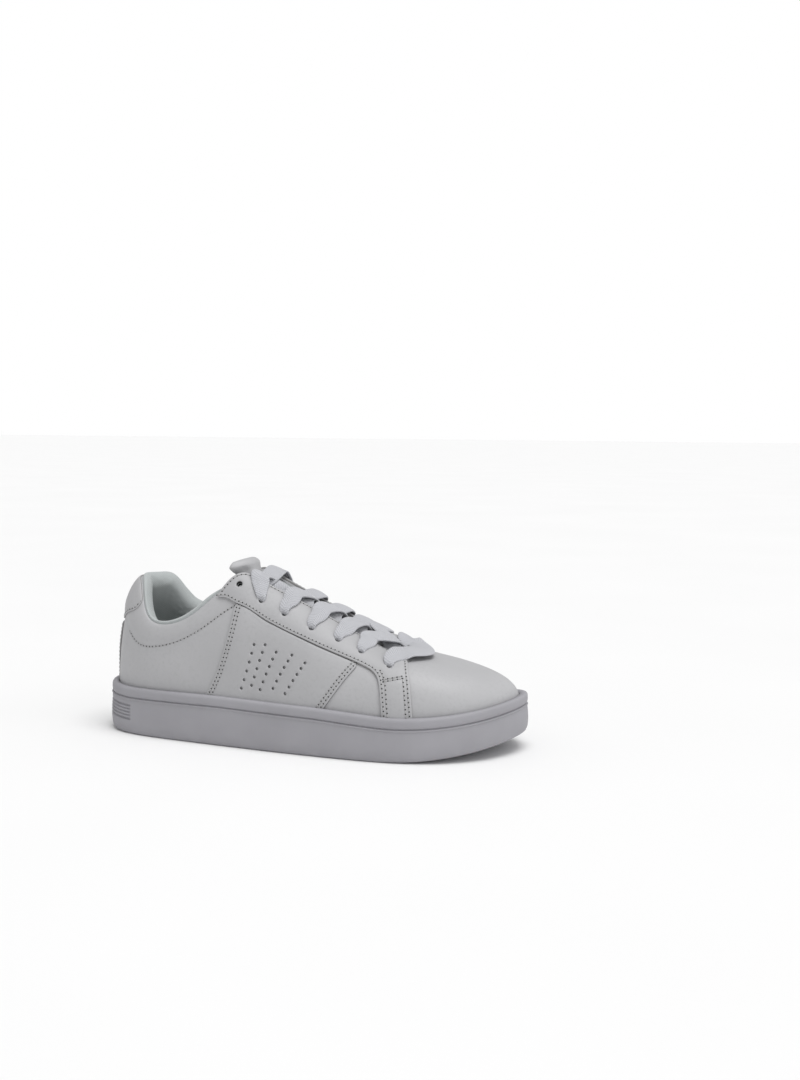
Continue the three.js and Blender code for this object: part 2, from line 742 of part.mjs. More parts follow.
// A flat ribbon through the stops, with as many steps between each two.
function ribbon(stops, each = 2) {
  const curve = new THREE.CatmullRomCurve3(stops.map((one) => one.p), false, 'centripetal');
  const rings = [];
  const last = (stops.length - 1) * each;
  for (let k = 0; k <= last; k += 1) {
    const i = Math.min(Math.floor(k / each), stops.length - 2);
    const [before, after, share] = [stops[i], stops[i + 1], k / each - i];
    const width = lerp(before.width, after.width, share);
    const along = before.along.clone().lerp(after.along, share);
    const p = curve.getPoint(k / last);
    const tangent = curve.getTangent(k / last);
    const wide = along.addScaledVector(tangent, -along.dot(tangent)).normalize();
    const thick = tangent.clone().cross(wide).normalize();
    rings.push([[1, 1], [-1, 1], [-1, -1], [1, -1]].map(([a, b]) => p.clone()
      .addScaledVector(wide, (a * width) / 2)
      .addScaledVector(thick, (b * LACE_THICK) / 2)));
  }
  return ringBody(rings);
}

// The lace starts inside the medial side and ends inside the lateral one.
const laceRoute = [
  ...strand(across, true).reverse(),
  ...bar(),
  ...strand(lateral, false),
];

const AGLET_RADIUS = 1.5;

function aglet(side) {
  const from = off(upper, side(6.35), 0.7, INSIDE - 2);
  const to = off(upper, side(6.25), 0.54, INSIDE - 2.8);
  const length = from.distanceTo(to);
  const pin = new THREE.CylinderGeometry(AGLET_RADIUS, AGLET_RADIUS, length, 8);
  const along = to.clone().sub(from).normalize();
  pin.applyQuaternion(new THREE.Quaternion().setFromUnitVectors(vec(0, 1, 0), along));
  pin.translate(...from.lerp(to, 0.5));
  return closed(pin);
}

// ---- the shoe ---------------------------------------------------------------------------------------
const shoe = new THREE.Group();

function add(name, geometry, color, roughness = 0.6) {
  const material = new THREE.MeshStandardMaterial({ color, roughness, metalness: 0 });
  const mesh = new THREE.Mesh(geometry, material);
  mesh.name = name;
  shoe.add(mesh);
}

const RUBBER = 0xa6a5a9;
const LEATHER_GREY = 0xb4b4b6;
const TEXTILE = 0x8a9191;
const FOAM = 0xd9d4c6;
const BOARD_WHITE = 0xd8d8d4;
const LACE_WHITE = 0xc4c6cc;
const MIDSOLE_WHITE = 0xe2e0da;
const STIFFENER_TAN = 0xcfc8b4;
const AGLET_CLEAR = 0xe6e6e8;

const cup = cupsole();
[['rear', rearSide], ['front', frontSide]].forEach(([end, half]) => {
  add(`cupsole_${end}`, keep(cup, half), RUBBER, 0.75);
  add(`midsole_${end}`, keep(midsole, half), MIDSOLE_WHITE, 0.9);
  add(`strobel_board_${end}`, keep(strobelBoard, half), BOARD_WHITE, 0.9);
  add(`sockliner_${end}`, keep(sockliner, half), TEXTILE, 0.9);
});

sides.forEach(([name, side]) => {
  add(`quarter_${name}`, quarter(side), LEATHER_GREY);
  add(`quarter_lining_${name}`, quarterLining(side), TEXTILE, 0.9);
  add(`eyelet_facing_${name}`, eyeletFacing(side), TEXTILE, 0.9);
  add(`eyestay_${name}`, eyestay(side), LEATHER_GREY);
  add(`side_panel_${name}`, sidePanel(side), LEATHER_GREY);
  add(`aglet_${name}`, aglet(side), AGLET_CLEAR, 0.3);
});

add('vamp_flex', keep(vamp, behindFront), LEATHER_GREY);
add('vamp_toe', keep(vamp, frontSide), LEATHER_GREY);
add('vamp_lining_flex', keep(vampLining, behindFront), TEXTILE, 0.9);
add('vamp_lining_toe', keep(vampLining, frontSide), TEXTILE, 0.9);
add('toe_puff', toePuff, STIFFENER_TAN, 0.8);
add('heel_counter', heelCounter, STIFFENER_TAN, 0.8);
add('heel_tab', heelTab, LEATHER_GREY);
add('heel_patch', heelPatch, LEATHER_GREY);
add('collar_padding', collarPadding, FOAM, 0.95);
add('collar_lining', collarLining, TEXTILE, 0.9);

add('tongue_base_leather', keep(tongueLayers.leather, tongueBaseSide), LEATHER_GREY);
add('tongue_base_foam', keep(tongueLayers.foam, tongueBaseSide), FOAM, 0.95);
add('tongue_base_lining', keep(tongueLayers.lining, tongueBaseSide), TEXTILE, 0.9);
add('tongue_tip_leather', keep(tongueLayers.leather, tongueTipSide), LEATHER_GREY);
add('tongue_tip_foam', keep(tongueLayers.foam, tongueTipSide), FOAM, 0.95);
add('tongue_tip_lining', keep(tongueLayers.lining, tongueTipSide), TEXTILE, 0.9);
add('lace', ribbon(laceRoute), LACE_WHITE, 0.85);

export default shoe;
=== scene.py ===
"""Looks of the low court shoe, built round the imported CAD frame.

Shapes are worked out in millimetres in the frame's own axes, +X to the toe and +Y to the inner
(medial) side, and become metres when a mesh is made. The upper is one surface, upper(t, s), as
in the CAD: t goes round the foot from the heel along the outer side, and s goes from the sole
to the topline. Leather, lining and thread all lie at a distance off that surface.
"""
import math

import bpy
import numpy as np
from mathutils import Matrix, Vector
from mathutils.geometry import delaunay_2d_cdt


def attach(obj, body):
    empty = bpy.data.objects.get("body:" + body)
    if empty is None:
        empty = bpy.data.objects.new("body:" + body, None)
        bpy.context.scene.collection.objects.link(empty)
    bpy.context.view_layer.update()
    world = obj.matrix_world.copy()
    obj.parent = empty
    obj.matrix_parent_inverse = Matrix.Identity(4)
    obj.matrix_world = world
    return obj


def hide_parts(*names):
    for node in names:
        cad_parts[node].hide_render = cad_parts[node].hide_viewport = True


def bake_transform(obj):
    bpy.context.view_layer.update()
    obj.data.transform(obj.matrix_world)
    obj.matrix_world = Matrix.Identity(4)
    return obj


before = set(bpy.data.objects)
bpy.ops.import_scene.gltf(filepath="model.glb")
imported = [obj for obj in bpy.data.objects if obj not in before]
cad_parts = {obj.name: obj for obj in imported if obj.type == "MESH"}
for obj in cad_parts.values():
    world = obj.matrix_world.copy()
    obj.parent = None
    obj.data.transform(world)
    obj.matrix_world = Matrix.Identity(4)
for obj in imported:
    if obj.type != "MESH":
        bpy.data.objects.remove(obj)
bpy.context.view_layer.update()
MM = 0.001

# ---- dimensions, in mm -------------------------------------------------------------------------
CUP_FLOOR = 6
CUP_WALL = 4.8
BEAD_HEIGHT = 7
MIDSOLE_TOP = 16
BOARD = 1.5
SOCKLINER = 4.4
FIT = 0.3
TOE_SPRING, SPRING_FROM, SOLE_FRONT = 12.5, 60, 148
HEEL_SPRING, HEEL_FLAT = 2, -118
UPPER_INSET = 6.2
LEATHER = 1.4
OVERLAY_UNDER, OVERLAY_OVER = 0.2, 1.9
LINING_UNDER, LINING_OVER = -2.9, -4
PADDING = 7
QUARTER_HOLE, EYESTAY_HOLE, FACING_HOLE = 2.2, 2.0, 1.7
LACE_WIDTH, LACE_THICK = 10.6, 1.3
WALL_HEIGHTS = [(-148, 32), (-50, 33), (20, 31.5), (70, 28.5), (148, 25.5)]

# The sole's outline x, y; the topline x, y, z; how far the side swells and at what height;
# how far the instep reaches out from the topline, and drops.
STATIONS = [
    (-148, 0, -124, 0, 109, 2, 50, 20, 17),
    (-142.5, -19, -119, -12, 104, 2, 50, 16, 15),
    (-127, -32, -112, -23, 88, 2, 46, 11, 14),
    (-102, -39, -100, -30, 80, 2, 42, 6, 16),
    (-74, -43, -80, -32, 85, 2, 42, 6, 18),
    (-50, -46, -61, -27, 101, 2, 44, 10, 20),
    (-32, -48, -46, -18, 113, 2, 46, 17, 18),
    (-14, -50, -32, -13.5, 108, 2.5, 48, 21, 14),
    (10, -52, -4, -13, 95, 3, 48, 24, 12),
    (34, -53.5, 24, -13, 81.5, 3, 46, 24, 9),
    (58, -54, 46, -13.5, 70, 3, 44, 24, 6),
    (84, -51.5, 58, -12.5, 64, 3, 42, 32, 4),
    (108, -43, 64, -9, 62, 3.5, 42, 42, 3),
    (130, -27, 66.5, -3.5, 61, 3.5, 44, 50, 3),
    (144, -6, 67.5, 1, 60.5, 3.5, 47, 52, 3),
    (148, 12, 67, 4.5, 60.5, 3.5, 48, 52, 3),
    (142.5, 29, 65.5, 8, 61, 3.5, 46, 50, 3),
    (127, 43, 63, 11, 62, 3.5, 44, 46, 3),
    (103, 52, 58, 13, 64, 3, 42, 38, 3),
    (76, 54, 49, 14, 69, 3, 44, 32, 4),
    (48, 50.5, 35, 14, 76, 2.5, 46, 28, 6),
    (14, 43.5, 4, 14, 91, 2, 48, 24, 9),
    (-16, 39, -30, 14.5, 108, 2, 50, 20, 13),
    (-36, 38, -46, 19, 113, 2, 48, 16, 18),
    (-54, 37.5, -61, 26, 103, 2, 44, 10, 20),
    (-76, 37.5, -79, 30, 88, 2, 42, 5, 18),
    (-102, 36.5, -99, 29, 88, 2, 42, 5, 16),
    (-128, 30.5, -112, 22, 104.5, 2, 46, 10, 14),
    (-143, 18, -120, 11.5, 108.5, 2, 50, 16, 15),
]
ROUND = len(STATIONS)
EYELETS = [
    (10.62, 0.69), (9.69, 0.75), (9, 0.76), (8.28, 0.75), (7.6, 0.765), (6.93, 0.784), (5.98, 0.885),
]


# ---- small maths -------------------------------------------------------------------------------
def lerp(a, b, u):
    return a + (b - a) * u


def clamp(x, low=0.0, high=1.0):
    return np.minimum(np.maximum(x, low), high)


def smooth(x, start, end):
    u = clamp((np.asarray(x, float) - start) / (end - start))
    return u * u * (3 - 2 * u)


def through(pairs, x):
    xs, ys = zip(*pairs)
    return np.interp(x, xs, ys)


def unit(v):
    return v / np.maximum(np.linalg.norm(v, axis=-1, keepdims=True), 1e-12)


class Track:
    """A closed smooth curve through one point per station."""

    def __init__(self, points):
        self.points = np.array(points, float)
        n = len(self.points)
        ring = 4 * np.eye(n) + np.roll(np.eye(n), 1, 0) + np.roll(np.eye(n), -1, 0)
        chord = np.roll(self.points, -1, 0) - np.roll(self.points, 1, 0)
        self.slopes = np.linalg.solve(ring, 3 * chord)

    def at(self, t):
        t = np.asarray(t, float)
        whole = np.floor(t)
        u = (t - whole)[..., None]
        k = whole.astype(int) % ROUND
        j = (k + 1) % ROUND
        return (
            self.points[k] * (2 * u**3 - 3 * u**2 + 1)
            + self.slopes[k] * (u**3 - 2 * u**2 + u)
            + self.points[j] * (3 * u**2 - 2 * u**3)
            + self.slopes[j] * (u**3 - u**2)
        )


outline = Track([(row[0], row[1], 0) for row in STATIONS])


def outward(t):
    along = outline.at(np.asarray(t) + 1e-3) - outline.at(np.asarray(t) - 1e-3)
    return unit(np.stack([along[..., 1], -along[..., 0], 0 * along[..., 0]], -1))


def outline_in(t, inset):
    return outline.at(t) - outward(t) * inset


def spring(x):
    toe = np.maximum(0, (x - SPRING_FROM) / (SOLE_FRONT - SPRING_FROM))
    heel = np.maximum(0, (HEEL_FLAT - x) / (SOLE_FRONT + HEEL_FLAT))
    return TOE_SPRING * toe**2 + HEEL_SPRING * heel**2


def upper_tracks():
    tracks = [[], [], [], []]
    for t, (_, _, x, y, z, swell, swell_z, reach, drop) in enumerate(STATIONS):
        edge = outline_in(float(t), UPPER_INSET)
        out = unit(np.array([edge[0] - x, edge[1] - y, 0]))
        side = edge + outward(float(t)) * swell
        side[2] = swell_z
        instep = np.array([x, y, 0]) + out * reach
        instep[2] = z - drop
        edge[2] = MIDSOLE_TOP + BOARD + 1.1 + 0.9 * spring(edge[0])
        for track, p in zip(tracks, (edge, side, instep, (x, y, z))):
            track.append(p)
    return [Track(points) for points in tracks]


UPPER_TRACKS = upper_tracks()


def upper(t, s):
    t, s = np.broadcast_arrays(np.asarray(t, float), np.asarray(s, float))
    s = s[..., None]
    r = 1 - s
    a, b, c, d = (track.at(t) for track in UPPER_TRACKS)
    return a * r**3 + b * 3 * r**2 * s + c * 3 * r * s**2 + d * s**3


def slopes_of(surface, a, b):
    step = 1e-3
    return (
        (surface(a + step, b) - surface(a - step, b)) / (2 * step),
        (surface(a, b + step) - surface(a, b - step)) / (2 * step),
    )


def normal_of(surface, a, b):
    return unit(np.cross(*slopes_of(surface, a, b)))


def off(surface, a, b, distance):
    a, b = np.asarray(a, float), np.asarray(b, float)
    return surface(a, b) + normal_of(surface, a, b) * np.asarray(distance, float)[..., None]


def across(t):
    """The medial station that faces a lateral one."""
    return ROUND - t + 0.75 * clamp((np.asarray(t, float) - 8) / 2.5)


def lateral(t):
    return t


# ---- paths on the upper, as rows of (t, s) -----------------------------------------------------
OUTLINE_STEP, ROW_STEP = 1.5, 1.0   # mm between the points of an outline, and of a stitch row


def on_side(path, side):
    """A lateral path put on either side, with the same side of it kept on its left."""
    path = np.array(path, float)
    if side is lateral:
        return path
    return np.stack([across(path[:, 0]), path[:, 1]], 1)[::-1]


def spline(points, each=12):
    """Catmull-Rom through control points of any dimension."""
    p = np.array(points, float)
    p = np.vstack([2 * p[0] - p[1], p, 2 * p[-1] - p[-2]])
    found = []
    for i in range(1, len(p) - 2):
        u = np.linspace(0, 1, each, endpoint=False)[:, None]
        a, b, c, d = p[i - 1 : i + 3]
        found.append(
            b + u * (c - a) / 2 + u**2 * (a - 2.5 * b + 2 * c - d / 2) + u**3 * (1.5 * (b - c) + (d - a) / 2)
        )
    return np.vstack([*found, p[-2:-1]])


def lying(ts):
    """The 3-D points on the upper at these rows of (t, s)."""
    return upper(ts[:, 0], ts[:, 1])


def resampled(path, spacing, closed=False):
    """The same path with points an even distance apart on the upper."""
    path = np.vstack([path, path[:1]]) if closed else np.asarray(path, float)
    length = np.linalg.norm(np.diff(lying(path), axis=0), axis=1)
    along = np.concatenate([[0], np.cumsum(length)])
    count = max(2, round(along[-1] / spacing))
    at = np.linspace(0, along[-1], count + 1)
    if closed:
        at = at[:-1]
    return np.stack([np.interp(at, along, path[:, k]) for k in (0, 1)], 1)


def signed_area(polygon):
    x, y = polygon[:, 0], polygon[:, 1]
    return np.sum(x * np.roll(y, -1) - np.roll(x, -1) * y) / 2


def loop(*edges, rounding=3):
    """A closed outline from its edges, with the corners rounded."""
    ring = resampled(np.vstack([np.asarray(edge, float) for edge in edges]), OUTLINE_STEP, True)
    for _ in range(rounding):
        ring = (np.roll(ring, 1, 0) + 2 * ring + np.roll(ring, -1, 0)) / 4
    return ring if signed_area(ring) > 0 else ring[::-1]


def steps(ts, move):
    """The change in (t, s) that moves each point by this 3-D vector in the upper."""
    da, db = slopes_of(upper, ts[:, 0], ts[:, 1])
    aa, ab, bb = (da * da).sum(1), (da * db).sum(1), (db * db).sum(1)
    ma, mb = (move * da).sum(1), (move * db).sum(1)
    det = np.maximum(aa * bb - ab * ab, 1e-9)
    return np.stack([(bb * ma - ab * mb) / det, (aa * mb - ab * ma) / det], 1)


def beside(path, distance, closed=False):
    """The path a distance to the left of this one."""
    path = np.asarray(path, float)
    if closed:
        along = np.roll(path, -1, 0) - np.roll(path, 1, 0)
    else:
        along = np.gradient(path, axis=0)
    da, db = slopes_of(upper, path[:, 0], path[:, 1])
    tangent = unit(da * along[:, :1] + db * along[:, 1:])
    left = np.cross(unit(np.cross(da, db)), tangent)
    return path + steps(path, left * distance)


def circle(centre, radius, sides=14):
    ts = np.tile(np.array(centre, float), (sides, 1))
    da, db = slopes_of(upper, ts[:, 0], ts[:, 1])
    e = unit(da)
    f = np.cross(unit(np.cross(da, db)), e)
    a = np.arange(sides)[:, None] * 2 * math.pi / sides
    return ts + steps(ts, (e * np.cos(a) + f * np.sin(a)) * radius)


# ---- meshes ------------------------------------------------------------------------------------
def make(name, points, faces, material, uv=None, smooth_faces=True):
    """A mesh object from points in mm. uv holds one pair per point."""
    mesh = bpy.data.meshes.new(name)
    mesh.from_pydata((np.asarray(points) * MM).tolist(), [], [tuple(int(i) for i in f) for f in faces])
    mesh.validate()
    if smooth_faces:
        mesh.polygons.foreach_set("use_smooth", [True] * len(mesh.polygons))
    if uv is not None:
        layer = mesh.uv_layers.new(name="weave")
        loops = np.zeros(len(mesh.loops), int)
        mesh.loops.foreach_get("vertex_index", loops)
        layer.data.foreach_set("uv", np.asarray(uv, float)[loops].ravel())
    for m in material if isinstance(material, (list, tuple)) else [material]:
        mesh.materials.append(m)
    o = bpy.data.objects.new(name, mesh)
    bpy.context.scene.collection.objects.link(o)
    return o


def strip(first, second, count, closed=True, flip=False):
    """Quads between two rows of points that start at these indices."""
    i = np.arange(count if closed else count - 1)
    j = (i + 1) % count
    quads = np.stack([first + i, first + j, second + j, second + i], 1)
    return quads[:, ::-1].tolist() if flip else quads.tolist()


def grid(rows, cols, closed=False, flip=False):
    faces = []
    for r in range(rows - 1):
        faces += strip(r * cols, (r + 1) * cols, cols, closed, flip)
    return faces


def inside(points, ring):
    """Which of these 2-D points the ring surrounds."""
    x, y = points[:, :1], points[:, 1:]
    x0, y0 = ring[:, 0], ring[:, 1]
    x1, y1 = np.roll(x0, -1), np.roll(y0, -1)
    cross = ((y0 > y) != (y1 > y)) & (x < (x1 - x0) * (y - y0) / (y1 - y0 + 1e-15) + x0)
    return cross.sum(1) % 2 == 1


CHUNK = 500    # points worked out at a time, to spare memory


def nearest(points, others):
    """Distance in mm from each 3-D point to the closest of the others."""
    found = np.zeros(len(points))
    for k in range(0, len(points), CHUNK):
        apart = np.linalg.norm(points[k : k + CHUNK, None] - others[None], axis=2)
        found[k : k + CHUNK] = apart.min(1)
    return found


BEVEL, INNER_BEVEL = 0.6, 0.15
VALLEY, VALLEY_WIDTH = 0.28, 1.0    # how far leather dips under a stitch row, and how wide
SWELL_FROM, SWELL_TO = 1.0, 7.0     # distances from the cut edge
CLEAR_OF_ROW, CLEAR_OF_EDGE = 0.8, 0.9


def panel(name, ring, under, over, material, rows=(), holes=(), pitch=2.6, swell=0.0, relief=None,
          bevel=BEVEL, cut_edge=None):
    """A piece of leather laid on the upper, with a cut edge that is slightly rounded.

    It dips along its stitch rows and swells by `swell` between them. holes are (t, s, radius).
    Returns the object and a function that gives the height of its face at any (t, s).
    """
    edge = min(bevel, (over - under) * 0.45)
    profile = [(0, under), (0, over - edge), (0.3 * edge, over - 0.3 * edge), (edge, over)]
    on_rows = np.vstack(rows) if rows else np.zeros((0, 2))
    row_points, edge_points = lying(on_rows), lying(ring)

    def face(ts):
        p = lying(ts)
        height = np.full(len(ts), float(over))
        if swell:
            height += swell * smooth(nearest(p, edge_points), SWELL_FROM, SWELL_TO)
        if relief is not None:
            height += relief(ts)
        if rows:
            height -= VALLEY * np.exp(-((nearest(p, row_points) / VALLEY_WIDTH) ** 2))
        return height

    all_ts, heights, faces = [], [], []

    def add(ts, height):
        """Adds points, and returns the index of the first."""
        start = sum(len(q) for q in all_ts)
        all_ts.append(ts)
        heights.append(np.broadcast_to(height, len(ts)).astype(float))
        return start

    def edge_rows(outline_at):
        """The rounded edge, from the underside up to the face, as first indices of its rows."""
        starts = []
        for distance, height in profile:
            ts = outline_at(distance)
            starts.append(add(ts, height if height == under else height + face(ts) - over))
        return starts

    starts = edge_rows(lambda distance: beside(ring, distance, True))
    for a, b in zip(starts, starts[1:]):
        faces += strip(a, b, len(ring))
    borders = [(starts[-1], all_ts[-1])]
    walls = []
    for t, s, radius in holes:
        starts = edge_rows(lambda distance: circle((t, s), radius + distance))
        sides = len(all_ts[-1])
        # Each hole's wall takes the dark needle-hole material: painted shade inside the hole.
        walls += range(len(faces), len(faces) + sides)
        for a, b in zip(starts, starts[1:]):
            faces += strip(a, b, sides, flip=True)
        borders.append((starts[-1], all_ts[-1]))
    scale = np.array([np.linalg.norm(slope) for slope in slopes_of(upper, *ring.mean(0))])
    lattice = lattice_within(ring, borders, on_rows, pitch / scale)
    start = add(lattice, face(lattice))
    faces += triangles_between(borders, start, lattice, scale)
    ts = np.vstack(all_ts)
    points = off(upper, ts[:, 0], ts[:, 1], np.concatenate(heights))
    o = make(name, points, faces, [material, cut_edge or EDGE_AND_SHADE_MATERIAL, NEEDLE_SHADE_MATERIAL])
    # The first strip round the outline is the cut edge: darker, partly the raw edge's own colour and partly
    # painted shade.
    for slot, marked in ((1, range(len(ring))), (2, walls)):
        for k in marked:
            o.data.polygons[k].material_index = slot
    return o, face


def lattice_within(ring, borders, on_rows, pitch):
    """Points for the inside of a panel: an even lattice, and every point of its stitch rows."""
    low, high = ring.min(0), ring.max(0)
    axes = [np.arange(low[k], high[k], pitch[k]) for k in (0, 1)]
    lattice = np.stack(np.meshgrid(*axes, indexing="ij"), -1).reshape(-1, 2)
    if len(on_rows):
        apart = nearest(lying(lattice), lying(on_rows)) > CLEAR_OF_ROW
        lattice = np.vstack([lattice[apart], on_rows])
    edge = borders[0][1]
    lattice = lattice[inside(lattice, edge)]
    p = lying(lattice)
    keep = nearest(p, lying(edge)) > CLEAR_OF_EDGE
    for _, hole in borders[1:]:
        keep &= nearest(p, lying(hole)) > CLEAR_OF_ROW
        keep &= ~inside(lattice, hole)
    return lattice[keep]


def triangles_between(borders, start, lattice, scale):
    """Triangles that fill a panel between its borders. A border is (first index, rows of (t, s))."""
    groups = [*borders, (start, lattice)]
    flat = np.vstack([ts for _, ts in groups]) * scale
    index = np.concatenate([first + np.arange(len(ts)) for first, ts in groups])
    owner = np.concatenate([np.full(len(ts), k) for k, (_, ts) in enumerate(groups)])
    edges, n = [], 0
    for _, border in borders:
        edges += [(n + i, n + (i + 1) % len(border)) for i in range(len(border))]
        n += len(border)
    _, _, triangles, origins, _, _ = delaunay_2d_cdt([Vector(v) for v in flat], edges, [], 1, 1e-6)
    first = [o[0] if o else 0 for o in origins]
    faces = []
    for triangle in triangles:
        k = [first[i] for i in triangle]
        within_hole = 0 < owner[k[0]] < len(borders) and len({owner[i] for i in k}) == 1
        if not within_hole:
            faces.append([index[i] for i in k])
    return faces


# ---- cloth simulation --------------------------------------------------------------------------
LAST_FRAME = 20
CLOTH_GRAIN, CLOTH_PRESSURE, CLOTH_SLACK = 4.2, 4.0, -0.03


def evaluated(o):
    return o.evaluated_get(bpy.context.evaluated_depsgraph_get())


def corners_of(mesh):
    found = np.zeros(len(mesh.vertices) * 3)
    mesh.vertices.foreach_get("co", found)
    return found.reshape(-1, 3) / MM


def as_cloth(body, name):
    """Blows a closed body up as cloth. Returns where its points were, and how far each moved, in mm."""
    scene = bpy.context.scene
    rough = make(f"{name}_body", *body, LINING_MATERIAL)
    remesh = rough.modifiers.new("remesh", "REMESH")
    remesh.mode = "VOXEL"
    remesh.voxel_size = CLOTH_GRAIN * MM
    o = bpy.data.objects.new(f"{name}_cloth", bpy.data.meshes.new_from_object(evaluated(rough)))
    scene.collection.objects.link(o)
    cloth = o.modifiers.new("cloth", "CLOTH")
    cloth.settings.use_pressure = True
    cloth.settings.uniform_pressure_force = CLOTH_PRESSURE
    cloth.settings.shrink_min = CLOTH_SLACK
    cloth.settings.effector_weights.gravity = 0
    for frame_number in range(1, LAST_FRAME + 1):
        scene.frame_set(frame_number)
    before = corners_of(o.data)
    moved = corners_of(evaluated(o).data) - before
    scene.frame_set(1)
    for spare in (rough, o):
        mesh = spare.data
        bpy.data.objects.remove(spare)
        bpy.data.meshes.remove(mesh)
    return before, moved


def swell(o, body, most):
    """Moves the points of a padded piece as the cloth beside them moved.

    body is (points, faces) in mm. most gives, for each of the piece's points, its longest move in mm.
    """
    before, moved = as_cloth(body, o.name)
    points = corners_of(o.data)
    shift = np.zeros_like(points)
    for k in range(0, len(points), CHUNK):
        apart = np.linalg.norm(points[k : k + CHUNK, None] - before[None], axis=2)
        weight = 1 / (apart + 0.5) ** 3
        shift[k : k + CHUNK] = weight @ moved / weight.sum(1)[:, None]
    long = np.linalg.norm(shift, axis=1)
    shift *= (most * np.tanh(long / np.maximum(most, 1e-6)) / np.maximum(long, 1e-6))[:, None]
    o.data.vertices.foreach_set("co", ((points + shift) * MM).ravel())
    o.data.update()


# ---- thread ------------------------------------------------------------------------------------
STITCH = 2.0
STITCH_PITCH = 2.8
NEEDLE = 0.55
NEEDLE_LIFT = 0.1
STITCH_SIDES, NEEDLE_SIDES = 6, 8
# Along half a stitch: its place, its height and its radius.
HALF_STITCH = [(1.2, -0.42, 0.16), (0.95, 0.0, 0.3), (0.35, 0.16, 0.34)]
STITCH_SHAPE = [(-x, z, r) for x, z, r in HALF_STITCH] + HALF_STITCH[::-1]


class Thread:
    """Collects stitches and the dark discs of painted shade at their needle holes, and makes one mesh of
    each.
    """

    def __init__(self):
        self.points, self.faces, self.hole_points, self.shade_disc_faces = [], [], [], []

    def row(self, path, face):
        """One row of stitches along a path, on a face whose height is given."""
        path = resampled(path, STITCH_PITCH)
        ends = off(upper, path[:, 0], path[:, 1], face(path))
        self.stitches((path[1:] + path[:-1]) / 2, face, unit(np.diff(ends, axis=0)))
        self.shade_discs(path, face)

    def stitches(self, middle, face, tangent):
        p = off(upper, middle[:, 0], middle[:, 1], face(middle))
        n = normal_of(upper, middle[:, 0], middle[:, 1])
        b = np.cross(n, tangent)
        rings = []
        for x, z, r in STITCH_SHAPE:
            for a in np.arange(STITCH_SIDES) * 2 * math.pi / STITCH_SIDES:
                rings.append(
                    p + tangent * x * STITCH / 2 + n * (z + r * math.sin(a)) + b * r * math.cos(a))
        block = np.stack(rings, 1)
        count, size = block.shape[:2]
        base = sum(len(q) for q in self.points)
        self.points.append(block.reshape(-1, 3))
        first = list(range(STITCH_SIDES))
        template = grid(len(STITCH_SHAPE), STITCH_SIDES, closed=True, flip=True)
        template += [first[::-1], [size - STITCH_SIDES + i for i in first]]
        for k in range(count):
            self.faces += [[base + k * size + i for i in f] for f in template]

    # Each needle hole is a flat dark disc just over the leather: painted shade for the pit.
    def shade_discs(self, path, face):
        p = off(upper, path[:, 0], path[:, 1], face(path) + NEEDLE_LIFT)
        n = normal_of(upper, path[:, 0], path[:, 1])
        t = unit(np.gradient(p, axis=0))
        b = np.cross(n, t)
        angles = np.arange(NEEDLE_SIDES) * 2 * math.pi / NEEDLE_SIDES
        ring = np.stack([p + NEEDLE * (t * math.cos(a) + b * math.sin(a)) for a in angles], 1)
        base = sum(len(q) for q in self.hole_points)
        self.hole_points.append(ring.reshape(-1, 3))
        self.shade_disc_faces += (base + np.arange(len(p) * NEEDLE_SIDES)).reshape(-1, NEEDLE_SIDES).tolist()

    def made(self, name):
        """One object: thread in the first material slot, the needle holes' painted shade in the second."""
        points = np.vstack(self.points + self.hole_points)
        base = sum(len(q) for q in self.points)
        faces = self.faces + [[base + i for i in f] for f in self.shade_disc_faces]
        o = make(name, points, faces, [THREAD_MATERIAL, NEEDLE_SHADE_MATERIAL])
        for k in range(len(self.faces), len(faces)):
            o.data.polygons[k].material_index = 1
        return o


# ---- materials ---------------------------------------------------------------------------------
def grey(red, green=None, blue=None):
    """Linear colour from 8-bit sRGB."""
    values = [red, red if green is None else green, red if blue is None else blue]
    return tuple([((v / 255 + 0.055) / 1.055) ** 2.4 for v in values] + [1])


class Nodes:
    """A material's node tree, with short ways to add to it."""

    def __init__(self, name):
        self.material = bpy.data.materials.new(name)
        self.material.use_nodes = True
        self.tree = self.material.node_tree
        self.shader = self.tree.nodes["Principled BSDF"]
        self.place = self.add("ShaderNodeTexCoord")

    def add(self, kind, inputs=(), **settings):
        node = self.tree.nodes.new(kind)
        for key, value in settings.items():
            setattr(node, key, value)
        for key, value in dict(inputs).items():
            self.put(value, node.inputs[key])
        return node

    def put(self, value, socket):
        if isinstance(value, bpy.types.NodeSocket):
            self.tree.links.new(value, socket)
        else:
            socket.default_value = value

    def noise(self, scale, detail=2.0):
        inputs = {"Vector": self.place.outputs["Object"], "Scale": scale, "Detail": detail}
        return self.add("ShaderNodeTexNoise", inputs).outputs["Fac"]

    def mix(self, factor, first, second, low=0.0, high=1.0):
        ramp = self.add("ShaderNodeMapRange", {"Value": factor, "From Min": low, "From Max": high})
        node = self.add("ShaderNodeMix", {"Factor": ramp.outputs[0]}, data_type="RGBA")
        self.put(first, node.inputs[6])
        self.put(second, node.inputs[7])
        return node.outputs[2]

    def math(self, operation, first, second=0.5):
        return self.add("ShaderNodeMath", {0: first, 1: second}, operation=operation).outputs[0]

    def bump(self, height, strength, distance, onto=None):
        node = self.add("ShaderNodeBump", {"Height": height, "Strength": strength, "Distance": distance})
        if onto is not None:
            self.put(onto, node.inputs["Normal"])
        return node.outputs["Normal"]

    def set(self, **inputs):
        for key, value in inputs.items():
            self.put(value, self.shader.inputs[key.replace("_", " ")])
        return self.material


def shade(colour, factor):
    return tuple([c * factor for c in colour[:3]] + [1])


